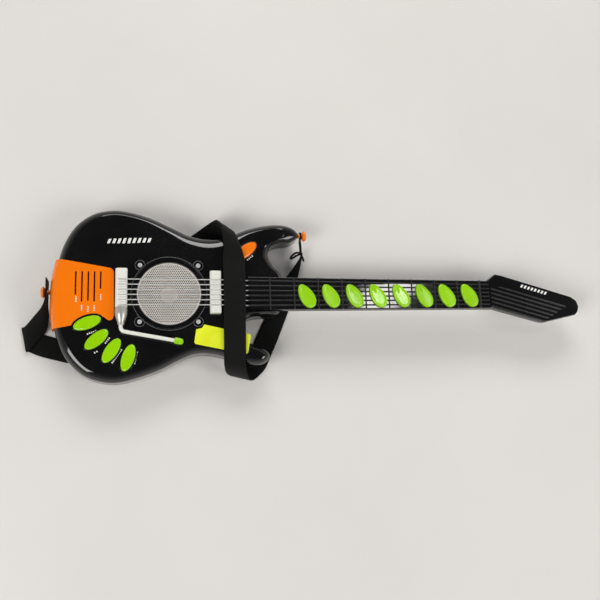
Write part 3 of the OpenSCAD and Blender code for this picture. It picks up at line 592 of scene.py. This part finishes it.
rings = [tail_ring(0, PANEL_OUT - 0.5, SPLIT + 0.3), tail_ring(0, PANEL_OUT, SPLIT + 0.8)]
for a in (0, 6, 12, 18, 24, 30, 36, 42, 48, 52):
    rings.append(tail_ring(rim_f(a) * 0.9, PANEL_OUT * (1 - a / 400), rim_z(a) + PANEL_T * a / 90))
rings += [tail_ring(0.80, 1.9, FACE + PANEL_T - 0.95), tail_ring(0.88, 1.2, FACE + PANEL_T - 0.42), tail_ring(0.95, 0.6, FACE + PANEL_T - 0.1),
          tail_ring(1, 0.2, FACE + PANEL_T)]
EDGE = [(-170, 50), (-138, 44.6), (-120, 41.6), (-90, 36.2), (-76, 33.6), (-73, 31.6), (-71.5, 28.5), (-70.6, -29.5),
        (-71.4, -33), (-73.5, -35.5), (-76.5, -36), (-79, -35), (-84, -31), (-92, -36), (-116, -43), (-122, -41.8), (-127, -43.3), (-136, -45), (-170, -49)]
panel = mesh_obj("tail_panel_smooth", *loft_data(rings))
boolean(panel, "INTERSECT", prism_data(EDGE[::-1], 0, 60))
inner = [tail_ring(0, 0.15, SPLIT - 1), tail_ring(0, 0.15, rim_z(0) + 0.05)] + [tail_ring(rim_f(a), 0.12, rim_z(a) + 0.05) for a in (7, 14, 21, 28, 35, 42, 49, 56, 62, RIM_END)]
boolean(panel, "DIFFERENCE", loft_data(inner))
boolean(panel, "DIFFERENCE", join_data([prism_data(placed(oval(OA + 3, OB + 2.9), STYLE[0]), 30, 60), xrod_data(3.05, -165, -130, 4, 29.5)]
        + [prism_data(rounded([(x - 1, y), (x + 1, y), (x + 1, 29), (x - 1, 29)], 0.9, 4), FACE - 3, 60)
           for x, y in ((-119.5, -2.5), (-111.5, -11.5), (-103.6, -10.5), (-95.8, -11.5), (-88, 5.5))]))
sharp_by_angle(panel, 30)
finish_mesh(panel, 0.0003, 40, 2, 0)
panel.modifiers.remove(panel.modifiers["flat"])
give(panel, "orange")
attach(panel, "body"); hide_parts("tail_panel")

# ------------------------------------------------------------ buttons
PROFILE = [(0.0, -4.5), (0.0, PROUD - 0.75), (0.08, PROUD - 0.42), (0.3, PROUD - 0.12), (0.65, PROUD), (1.1, PROUD - 0.02), (1.5, PROUD - 0.16),
           (1.9, PROUD - 0.38), (2.3, PROUD - 0.5), (3.0, PROUD - 0.56), (4.5, PROUD - 0.52), (6.0, PROUD - 0.46), (7.0, PROUD - 0.44)]


def oval_button(name, at, a, b, key):
    rings = [[q + (FACE + z,) for q in placed(oval(a - d, b - d), at)] for d, z in PROFILE]
    flange = loft_data([[q + (z,) for q in placed(oval(a + 1.3, b + 1.3), at)] for z in (FACE - 5.2, FACE - WALL - 0.6)])
    stem = rod_data(3.5, FACE - 7.5, FACE - 5, at[0], at[1], 24)
    o = mesh_obj(name + "_cap", *join_data([loft_data(rings), flange, stem]))
    sharp_by_angle(o, 50)
    give(o, key)
    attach(o, name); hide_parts(name)


for i, p in enumerate(STYLE):
    oval_button("style_button_%d" % (i + 1), p, OA, OB, "green")
oval_button("horn_button", HORN, OA + 1, OB, "orange")

# ------------------------------------------------------------ perforated grille
pitch, hr, verts, faces = 2.7, 0.93, [], []
zt, zb = FACE - 0.7, FACE - 1.5
for i in range(-18, 19):
    for j in range(-19, 20):
        x, y = pitch * (i + 0.5 * (j % 2)), pitch * math.sqrt(0.75) * j
        if math.hypot(x, y) > 40.4:
            continue
        b0 = len(verts)
        hexr = pitch / math.sqrt(3)
        for z in (zt, zb):
            for k in range(12):
                t = math.radians(30 * k + 30)
                rr = hexr if k % 2 == 0 else hexr * math.cos(math.radians(30))
                verts.append((x + rr * math.cos(t), y + rr * math.sin(t), z))
            for k in range(12):
                t = math.radians(30 * k + 30)
                verts.append((x + hr * math.cos(t), y + hr * math.sin(t), z))
        for k in range(12):
            n = (k + 1) % 12
            faces.append((b0 + k, b0 + n, b0 + 12 + n, b0 + 12 + k))
            faces.append((b0 + 12 + k, b0 + 12 + n, b0 + 36 + n, b0 + 36 + k))
            faces.append((b0 + 24 + n, b0 + 24 + k, b0 + 36 + k, b0 + 36 + n))
# close the plate's outer edge: a tile side that no other tile shares gets a wall
sides = {}
for b0 in range(0, len(verts), 48):
    for k in range(12):
        n = (k + 1) % 12
        sides.setdefault(frozenset((round(verts[b0 + v][0], 3), round(verts[b0 + v][1], 3)) for v in (k, n)), []).append((b0 + n, b0 + k, b0 + 24 + k, b0 + 24 + n))
faces += [f[0] for f in sides.values() if len(f) == 1]
rim = loft_data([[(x, y, z) for x, y in circle(r, n=120)] for r, z in ((39.9, zb), (43.8, zb), (43.8, zt), (39.9, zt + 0.02), (39.9, zb))], False, False)
grille = mesh_obj("grille_mesh", *join_data([(verts, faces), rim]), smooth=False)
sharp_by_angle(grille, 30)
outward(grille)
give(grille, "grille")
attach(grille, "body"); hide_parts("speaker_grille")

# thin raised lips round the speaker ring and its screw lugs, coloured light grey as a painted highlight along those
# edges, and the bright dust cap behind the mesh
def wire(path, r, n=8, closed=False):
    m_ = len(path)
    rings_ = []
    for i in range(m_):
        a_, c_ = (path[i - 1], path[(i + 1) % m_]) if closed else (path[max(i - 1, 0)], path[min(i + 1, m_ - 1)])
        t = Vector((c_[0] - a_[0], c_[1] - a_[1], 0)).normalized()
        nn = Vector((t.y, -t.x, 0))
        rings_.append([(path[i][0] + nn.x * r * math.cos(2 * math.pi * k / n), path[i][1] + nn.y * r * math.cos(2 * math.pi * k / n),
                        path[i][2] + r * math.sin(2 * math.pi * k / n)) for k in range(n)])
    if closed:
        rings_.append(rings_[0])
    return loft_data(rings_, not closed, not closed)


wires = [wire([(x, y, FACE + 0.72) for x, y in circle(49.4, n=160)], 0.34, closed=True),
         wire([(x, y, FACE - 0.12) for x, y in circle(42.2, n=160)], 0.3, closed=True)]
for sx, sy in SCREWS:
    arc = [(sx + 6.5 * math.cos(math.radians(t)), sy + 6.5 * math.sin(math.radians(t)), FACE + 0.74) for t in range(0, 360, 6)]
    i0 = min(range(60), key=lambda i: math.hypot(arc[i][0], arc[i][1]))
    arc = [arc[(i0 + i) % 60] for i in range(60)]
    wires.append(wire([q for q in arc if math.hypot(q[0], q[1]) > 49.6], 0.32))
lips = mesh_obj("speaker_ring_lips", *join_data(wires))
outward(lips)
give(lips, "lip")
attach(lips, "body")
dome = mesh_obj("speaker_dust_cap", *revolve([(11.6, FACE - 8.2), (11.4, FACE - 7.4), (9.5, FACE - 6.2), (7, FACE - 5.1), (4, FACE - 4.3), (1.5, FACE - 3.95), (0.2, FACE - 3.9)]))
sharp_by_angle(dome, 60)
give(dome, "cap")
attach(dome, "body")

# ------------------------------------------------------------ strap
ROWS = [
    [-157, 21, 44, -157, 21, 16], [-157, 4, 44, -157, 4, 16], [-158, -9, 43, -157, -11, 15],
    [-163, -18, 36, -156, -26, 11], [-173, -26, 23, -159, -42, 5], [-182, -33, 11, -170, -56, 4],
    [-188, -38, 5, -181, -69, 5], [-190.5, -38, 3, -184, -70.5, 3], [-188, -38, 0.9, -181, -70, 0.9],
    [-160, -48, 0.9, -169, -75, 0.9], [-139, -54, 0.9, -148, -81, 0.9], [-119, -57, 0.9, -121, -86, 0.9],
    [-102, -52, 0.9, -89, -78, 0.9], [-85, -37, 0.9, -64, -57, 0.9], [-66, -4, 0.9, -43, -22, 0.9],
    [-38, 29, 0.9, -16, 10, 0.9], [-11, 61, 0.9, 10, 41, 0.9], [9, 78, 1.2, 29, 57, 0.9],
    [29, 90, 4, 48, 67, 0.9], [46, 101, 11, 65, 77, 1.4], [58, 107, 21, 76, 85, 8],
    [63, 106, 34, 82, 90, 22], [66, 100, 46, 86, 90, 36], [69, 90, 53, 90, 80, 46],
    [71, 76, 55, 95, 65, 50], [72, 62, 53, 99, 52, 50], [71, 46, 51, 100, 43, 50.5],
    [71, 28, 54, 100, 28, 54], [71, 17, 56, 100, 17, 56], [71, 0, 56.2, 100, 0, 56.2],
    [71, -17, 56, 100, -17, 56], [71, -32, 52.5, 100, -32, 52.5], [71, -52, 49, 100, -52, 49],
    [71, -70, 48, 100, -72, 48.5], [71, -84, 45, 100, -88, 46], [72, -95, 37, 101, -100, 38],
    [75, -102, 25, 104, -108, 26], [81, -105, 12, 109, -112, 13], [88, -103, 3.5, 116, -110, 4],
    [96, -96, 1, 123, -104, 1], [105, -82, 0.9, 131, -95, 0.9], [114, -63, 0.9, 140, -76, 0.9],
    [124, -42, 0.9, 149, -56, 0.9], [133, -24, 0.9, 157, -36, 0.9], [144, -2, 0.9, 166, -13, 0.9],
    [154, 17, 1.6, 173, 9, 1.4], [162, 31, 4, 178, 26, 4], [173, 46, 9, 182, 43, 9],
    [181, 58, 12.5, 185, 57, 12.5], [182.5, 62, 13, 185.5, 62, 13]]
rows = open_curve(ROWS, 8)
ACROSS = 14
verts, faces, uvs, lens = [], [], [], [0.0]
for i in range(1, len(rows)):
    a, c = rows[i - 1], rows[i]
    lens.append(lens[-1] + math.dist([(a[k] + a[k + 3]) / 2 for k in range(3)], [(c[k] + c[k + 3]) / 2 for k in range(3)]))
T = 1.5
for i, r in enumerate(rows):
    a, c = rows[max(i - 1, 0)], rows[min(i + 1, len(rows) - 1)]
    l, q = Vector(r[:3]), Vector(r[3:])
    d = Vector([c[k] + c[k + 3] - a[k] - a[k + 3] for k in range(3)])
    n = d.cross(l - q).normalized()
    width = (l - q).length
    per = [(k / ACROSS, 1) for k in range(ACROSS + 1)] + [(1 - k / ACROSS, -1) for k in range(ACROSS + 1)]
    for t, s in per:
        edge = min(t, 1 - t) * width
        th = T / 2 * (0.55 + 0.45 * min(1, edge / 0.9))
        gather = 0.0
        if i > len(rows) - 40:                       # soft lengthwise folds where the end is gathered
            gather = 0.5 * math.sin(t * math.pi * 5) * (i - (len(rows) - 40)) / 40
        p = l * (1 - t) + q * t + n * (s * th + gather * 0.5)
        verts.append(tuple(p))
        uvs.append((lens[i] / 1000, t * 0.029 + (0 if s > 0 else 0.05)))
PER = 2 * (ACROSS + 1)
for i in range(len(rows) - 1):
    for k in range(PER):
        n = (k + 1) % PER
        faces.append((i * PER + k, i * PER + n, (i + 1) * PER + n, (i + 1) * PER + k))
faces.append(tuple(range(PER - 1, -1, -1)))
faces.append(tuple((len(rows) - 1) * PER + k for k in range(PER)))
strap = mesh_obj("strap_webbing", verts, faces)
lay = strap.data.uv_layers.new(name="UVMap")
for lp in strap.data.loops:
    lay.data[lp.index].uv = uvs[lp.vertex_index]
bm = bmesh.new(); bm.from_mesh(strap.data); bmesh.ops.recalc_face_normals(bm, faces=bm.faces); bm.to_mesh(strap.data); bm.free()
boolean(strap, "DIFFERENCE", xrod_data(3.3, -165, -151, 4, 29.5))
give(strap, "web")
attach(strap, "body"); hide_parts("strap")

# ------------------------------------------------------------ strap tie
def tube(name, pts, r, n=12):
    cu = bpy.data.curves.new(name, "CURVE")
    cu.dimensions = "3D"
    cu.bevel_depth = r * 0.001
    cu.bevel_resolution = 4
    cu.use_fill_caps = True
    s = cu.splines.new("POLY")
    s.points.add(len(pts) - 1)
    for p, q in zip(s.points, pts):
        p.co = (q[0] * 0.001, q[1] * 0.001, q[2] * 0.001, 1)
    o = bpy.data.objects.new(name, cu)
    COLL.objects.link(o)
    return o


loop = []
kn = Vector((183.5, 65.4, 13.6))
for k in range(25):
    t = math.radians(-60 - 300 * k / 24)
    loop.append([180.6, 86 + 4.6 * math.sin(t), 29.5 + 4.6 * math.cos(t)])
ctrl = [list(kn + Vector((0.4, 1.0, 0.6))), [183.0, 72, 18.5], [181.6, 79, 23.5]] + \
    [[180.6, 86 + 4.6 * math.sin(math.radians(a)), 29.5 + 4.6 * math.cos(math.radians(a))] for a in (-120, -165, -210, -255, -300, -345, -390, -430)] + \
    [[180.2, 79.5, 25.2], [181.5, 72, 20.3], list(kn + Vector((-0.6, 1.0, 0.4)))]
tie = tube("strap_tie_cord", open_curve(ctrl, 6), 1.3)
give(tie, "web")
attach(tie, "body")
bow = tube("strap_tie_bow", open_curve([list(kn + Vector((0, 0, 0.4))), [179, 66.5, 15.4], [174, 65, 14.6], [170.2, 61.5, 12.4], [169, 59, 12], [171, 58.6, 12.4],
           [176, 61.6, 13.8], [181, 64, 14.2], list(kn + Vector((0, -0.3, 0.8))), [185.5, 61.5, 13.0], [187, 58.5, 11.2], [188, 55.5, 9.5]], 6), 1.45)
give(bow, "web")
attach(bow, "body")
kv = []
for i in range(9):
    ph = 0.15 + (math.pi - 0.3) * i / 8
    kv.append([(kn.x + 2.9 * math.sin(ph) * math.cos(2 * math.pi * k / 18) * (1 + 0.12 * math.sin(3 * k)),
                kn.y + 2.6 * math.sin(ph) * math.sin(2 * math.pi * k / 18), kn.z - 2.6 * math.cos(ph)) for k in range(18)])
knot = mesh_obj("strap_tie_knot", *loft_data(kv))
outward(knot)
give(knot, "web")
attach(knot, "body")
for o in (tie, bow, knot):
    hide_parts("strap_tie")

# ------------------------------------------------------------ printed generic marks
marks = []


def slab(cx, cy, w_, h, ang, z, slant=0.0, t=0.06):
    c, s = math.cos(math.radians(ang)), math.sin(math.radians(ang))
    pts = [(-w_ / 2 - slant, -h / 2), (w_ / 2 - slant, -h / 2), (w_ / 2 + slant, h / 2), (-w_ / 2 + slant, h / 2)]
    q = [(cx + x * c - y * s, cy + x * s + y * c) for x, y in pts]
    marks.append(prism_data(q, z, z + t))


for k in range(9):                                    # slanted bars in place of a word
    slab(-78 + k * 6.5, 71.5 + (0.25 * k - 1), 3.6, 7.4 - 0.35 * abs(k - 4), 2, FACE + 0.02, 1.3)
for (x, y), (x2, y2) in (((-104.5, -54.2), (-92, -49.3)), ((-81.6, -66.6), (-75, -58)), ((-95, -78.8), (-90, -75.6)), ((-72.4, -92), (-60, -73.4)),
                         ((-44.2, -93.5), (-40.5, -76.5)), ((103.4, 46.2), (112, 53.6))):
    n = max(2, round(math.dist((x, y), (x2, y2)) / 2.6))
    for k in range(n):
        t = (k + 0.5) / n
        slab(x + (x2 - x) * t, y + (y2 - y) * t, 1.5, 1.9, math.degrees(math.atan2(y2 - y, x2 - x)), FACE + 0.02)
for x, y in ((-118.6, -8.5), (-111.2, -19.5), (-103.3, -21.2), (-95.4, -20), (-87.5, -5.6)):
    for k in range(4):
        slab(x, y + 3 - 2 * k, 1.7, 1.2, 0, FACE + PANEL_T + 0.02)
print_ = mesh_obj("printed_marks", *join_data(marks), smooth=False)
give(print_, "mark")
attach(print_, "body")

hd = []
tilt = math.radians(4)
marks_b, marks = marks, []
for k in range(8):
    slab(52 + k * 5.2, 13.2 - k * 5.2 * math.tan(math.radians(14.5)) * 1.02, 2.9, 4.6, -14.5, 0.02, 0.9)
hv, hf = join_data(marks)
hv = [(NUT_X + 14 + x * math.cos(tilt) + z * math.sin(tilt), y, NECK_TOP - x * math.sin(tilt) + z * math.cos(tilt)) for x, y, z in hv]
hm = mesh_obj("head_marks", hv, hf, smooth=False)
give(hm, "mark")
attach(hm, "body")

# ------------------------------------------------------------ bridge and pickup: moulded blocks with six slotted saddles
def block(name, x0, x1, y0, y1, z0, z1, front, rear, r, node, pins):
    prof = [(x0, z0), (x1, z0), (x1, z1 - front), (x1 - front, z1), (x0 + rear, z1), (x0, z1 - rear)]
    rr = rounded(prof, 0.7, 3)
    rr = [q for q in rr]
    ys = [(y0, 0.7), (y0 + 0.2, 0.25), (y0 + 0.7, 0.0), (y1 - 0.7, 0.0), (y1 - 0.2, 0.25), (y1, 0.7)]
    cx, cz = (x0 + x1) / 2, (z0 + z1) / 2
    rings = []
    for y, d in ys:
        rings.append([(cx + (x - cx) * (1 - d / ((x1 - x0) / 2)), y, z0 + (z - z0) * (1 - d / (z1 - z0))) for x, z in rr])
    o = mesh_obj(name, *loft_data([q[::-1] for q in rings]))
    bm_ = bmesh.new(); bm_.from_mesh(o.data); bmesh.ops.recalc_face_normals(bm_, faces=bm_.faces); bm_.to_mesh(o.data); bm_.free()
    return o


GAP = 6.8
bridge = block("bridge_block", -69.1, -53.9, -20, 32, FACE, FACE + 9.5, 1.5, 2.3, 0.8, "bridge", None)
boolean(bridge, "DIFFERENCE", join_data([box_data(-65, -50, k * GAP - 0.85, k * GAP + 0.85, FACE + 7.9, 60) for k in (-2.5, -1.5, -0.5, 0.5, 1.5, 2.5)]))
pickup = block("pickup_block", 53.3, 67.9, -27.5, 29.5, FACE, FACE + 9.5, 1.5, 1.5, 0.8, "pickup", None)
boolean(pickup, "DIFFERENCE", join_data([box_data(52, 70, k * GAP - 0.85, k * GAP + 0.85, FACE + 7.9, 60) for k in (-2.5, -1.5, -0.5, 0.5, 1.5, 2.5)]))
for o, node in ((bridge, "bridge"), (pickup, "pickup")):
    sharp_by_angle(o, 35)
    give(o, "white")
    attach(o, "body"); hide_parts(node)
# shallow saddle lines moulded between the slots
lines = []
for x0, x1 in ((-64.6, -54.4), (56.0, 65.6)):
    for k in (-2, -1, 0, 1, 2):
        lines.append(box_data(x0, x1, k * GAP - 0.22, k * GAP + 0.22, FACE + 9.49, FACE + 9.62))
saddle = mesh_obj("saddle_lines", *join_data(lines), smooth=False)
give(saddle, "silver")
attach(saddle, "body")


def copy_of(node, name, key, deg=32):
    """A copy of a CAD mesh with its corners joined and its true edges kept crisp, which stands for the node."""
    me = N[node].data.copy()
    o = bpy.data.objects.new(name, me)
    COLL.objects.link(o)
    bm_ = bmesh.new(); bm_.from_mesh(me)
    bmesh.ops.remove_doubles(bm_, verts=bm_.verts, dist=2e-6)
    bmesh.ops.dissolve_limit(bm_, angle_limit=math.radians(0.4), verts=bm_.verts, edges=bm_.edges, delimit={"NORMAL"})
    bm_.to_mesh(me); bm_.free()
    for at_ in ("custom_normal",):
        if at_ in me.attributes:
            me.attributes.remove(me.attributes[at_])
    sharp_by_angle(o, deg)
    give(o, key)
    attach(o, "body"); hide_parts(node)
    return o


# ------------------------------------------------------------ neck front: board, string ridges, frets, nut and head
def egg(d, n=72):
    """Outline of a fret button, d inside its edge; the +x end is the wide one."""
    out = []
    for i in range(n):
        t = 2 * math.pi * i / n
        c, sn = math.cos(t), math.sin(t)
        out.append(((17.6 - d) * c, (9.8 - d + 1.6 * c - 0.6 * c * c) * (abs(sn) ** 0.92) * (1 if sn >= 0 else -1)))
    return out


BTN = [((fret_x(j + 2) + fret_x(j + 3)) / 2, -3.8 + 0.3 * j, -61) for j in range(8)]
for j in range(8):
    at = BTN[j]
    prof = [(0.0, 2.2), (0.0, 7.2), (0.1, 7.6), (0.35, 7.95), (0.75, 8.17), (1.15, 8.2), (1.6, 8.1), (2.1, 7.85), (2.6, 7.62), (3.2, 7.5)]
    prof += [(3.2 + 0.55 * k, 7.5 - 0.012 * k) for k in range(1, 11)]
    rings = []
    for d, z in prof:
        sc = 1.0 if d < 3.2 else (8.9 - d) / 5.7
        r3 = []
        for x, y in egg(min(d, 3.2)):
            x, y = x * sc, y * sc
            zz = z
            if d > 2.9:
                zz -= 0.75 * math.exp(-(math.hypot((x + 8.6) / 2.4, y / 1.7)) ** 4)
            r3.append((x, y, FACE + zz))
        rings.append(placed(r3, at))
    base = loft_data([[q + (FACE + z,) for q in placed(drop(15.2, 9.4), at)] for z in (0.7, 2.25)])
    stem = rod_data(3, FACE - 2, FACE + 1, at[0], at[1], 24)
    o = mesh_obj("fret_button_%d_cap" % (j + 1), *join_data([loft_data(rings), base, stem]))
    sharp_by_angle(o, 50)
    give(o, "green")
    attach(o, "fret_button_%d" % (j + 1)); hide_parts("fret_button_%d" % (j + 1))

holes = join_data([prism_data(placed(egg(-0.45), at), NECK_TOP - 12.6, 60) for at in BTN])
x0, x1 = NECK_X0, NUT_X + 15
side = [(x0, -half_w(x0)), (x1, -half_w(x1)), (x1, half_w(x1)), (x0, half_w(x0))]
board = mesh_obj("neck_board", *loft_data([[c + (z,) for c in inset(side, d)] for d, z in
                 ((0.2, NECK_TOP - 10), (0, NECK_TOP - 9.8), (0, NECK_TOP - 0.5), (0.15, NECK_TOP - 0.15), (0.5, NECK_TOP))]))
boolean(board, "DIFFERENCE", prism_data([(x0 + 2, 2 - half_w(x0)), (NUT_X + 6, 2 - half_w(NUT_X)), (NUT_X + 6, half_w(NUT_X) - 2), (x0 + 2, half_w(x0) - 2)],
                                        NECK_TOP - 11, NECK_TOP - 2.5))
boolean(board, "DIFFERENCE", holes)
sharp_by_angle(board, 40)
give(board, "board_gloss")
rid = []
for k in (-2.5, -1.5, -0.5, 0.5, 1.5, 2.5):
    L = NUT_X - NECK_X0 + 14
    dy = -math.sin(math.radians(0.2 * k)) * L
    rr = [[], []]
    for i in range(13):
        t = math.pi * i / 12
        for q, (xx, yy) in enumerate(((NECK_X0, k * GAP), (NECK_X0 + L, k * GAP + dy))):
            rr[q].append((xx, yy + 1.15 * math.cos(t), NECK_TOP - 0.3 + 1.4 * math.sin(t)))
    for q in rr:
        q += [(q[0][0], q[-1][1], NECK_TOP - 1), (q[0][0], q[0][1], NECK_TOP - 1)]
    v_, f_ = loft_data(rr)
    rid.append((v_, f_))
ridges = mesh_obj("string_ridges", *join_data(rid))
bm = bmesh.new(); bm.from_mesh(ridges.data); bmesh.ops.recalc_face_normals(bm, faces=bm.faces); bm.to_mesh(ridges.data); bm.free()
boolean(ridges, "DIFFERENCE", holes)
sharp_by_angle(ridges, 50)
give(ridges, "neck")
fr = []
for k in range(1, 11):
    X, h_, w_ = (fret_x(k), 1.7, 0.85) if k < 10 else (NUT_X, 2.0, 1.5)
    W = half_w(X)
    prof = [(X - w_, NECK_TOP - 1), (X - w_, NECK_TOP + h_ * 0.55), (X - w_ * 0.75, NECK_TOP + h_ * 0.85), (X - w_ * 0.3, NECK_TOP + h_),
            (X + w_ * 0.3, NECK_TOP + h_), (X + w_ * 0.75, NECK_TOP + h_ * 0.85), (X + w_, NECK_TOP + h_ * 0.55), (X + w_, NECK_TOP - 1)]
    fr.append(loft_data([[(a, -W, z) for a, z in prof], [(a, W, z) for a, z in prof]]))
frets = mesh_obj("fret_bars", *join_data(fr))
bm = bmesh.new(); bm.from_mesh(frets.data); bmesh.ops.recalc_face_normals(bm, faces=bm.faces); bm.to_mesh(frets.data); bm.free()
sharp_by_angle(frets, 50)
give(frets, "fret")
HEAD = [(0, -18.5), (4, -18.5), (83, -38.6), (97, -35.5), (133, -27.5), (138, -22), (140, -14.5), (137, -6.5), (129, -1), (22, 27.5), (11, 29.5), (0, 21)]
T4 = math.radians(4)


def headed(data):
    return [(NUT_X + 14 + x * math.cos(T4) + z * math.sin(T4), y, NECK_TOP - x * math.sin(T4) + z * math.cos(T4)) for x, y, z in data[0]], data[1]


hp = rounded(HEAD, 4, 5)
hp = [p for p, q in zip(hp, hp[-1:] + hp[:-1]) if math.dist(p, q) > 0.05]
head = mesh_obj("head_front", *headed(loft_data([[c + (z,) for c in inset(hp, d)] for d, z in ((0, -9), (0, -0.8), (0.12, -0.4), (0.4, -0.1), (0.9, 0))])))
sharp_by_angle(head, 40)
give(head, "board_gloss")
bars = []
for k in (-2.5, -1.5, -0.5, 0.5, 1.5, 2.5):
    c, sn = math.cos(math.radians(-14.5)), math.sin(math.radians(-14.5))
    prof = [(-1.15, -1), (-1.15, 0.5), (-0.8, 1.0), (-0.3, 1.2), (0.3, 1.2), (0.8, 1.0), (1.15, 0.5), (1.15, -1)]
    ends = []
    for L in (0, 140):
        ends.append([(3 + L * c - y * sn, k * 6.2 - 1 + L * sn + y * c, z) for y, z in prof])
    bars.append(loft_data(ends))
hr_ = mesh_obj("head_ridges", *join_data(bars))
bm = bmesh.new(); bm.from_mesh(hr_.data); bmesh.ops.recalc_face_normals(bm, faces=bm.faces); bm.to_mesh(hr_.data); bm.free()
boolean(hr_, "INTERSECT", prism_data([(3, -17), (78, -36.5), (84, -36.5), (126, -11), (126, -4), (110, 2), (3, 12)], -1.5, 4))
hr_.data.vertices.foreach_set("co", [c for v_ in headed(([tuple(q.co * 1000) for q in hr_.data.vertices], []))[0] for c in (v_[0] / 1000, v_[1] / 1000, v_[2] / 1000)])
sharp_by_angle(hr_, 50)
give(hr_, "fret")
for o in (board, ridges, frets, head, hr_):
    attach(o, "body"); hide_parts("neck_front")
copy_of("neck_back", "neck_back_moulded", "neck", 40)

# ------------------------------------------------------------ CAD nodes that stay: rounded edges and their materials
KEEP = {"speaker_bezel": ("bezel", 0.0004), "grille_screws": ("screw", 0.0002), "speaker_basket": ("basket", 0), "speaker_cone": ("cone", 0),
        "speaker_magnet": ("magnet", 0), "bridge_socket": ("silver", 0.0004), "whammy_bar": ("white", 0),
        "whammy_tip": ("green", 0.0003), "strings": ("string", 0), "body_keypad": ("rubber", 0),
        "body_button_board": ("board", 0), "horn_keypad": ("rubber", 0), "horn_button_board": ("board", 0), "fret_keypad": ("rubber", 0), "fret_board_pcb": ("board", 0), "main_board": ("board", 0),
        "batteries": ("battery", 0.0003), "battery_contacts": ("contact", 0), "battery_door": ("shell_in", 0.0003), "battery_screw": ("screw", 0.0001),
        "power_slider": ("neck", 0.0002), "power_switch": ("contact", 0), "case_screws": ("screw", 0), "neck_screws": ("screw", 0),
        "tail_peg": ("orange", 0), "horn_peg": ("orange", 0), "paper_label": ("paper", 0)}
for name, (key, bev) in KEEP.items():
    o = N[name]
    give(o, key)
    o.data.polygons.foreach_set("use_smooth", [True] * len(o.data.polygons))
    finish_mesh(o, bev, weld=1e-7 if name == "strings" else 1e-5)
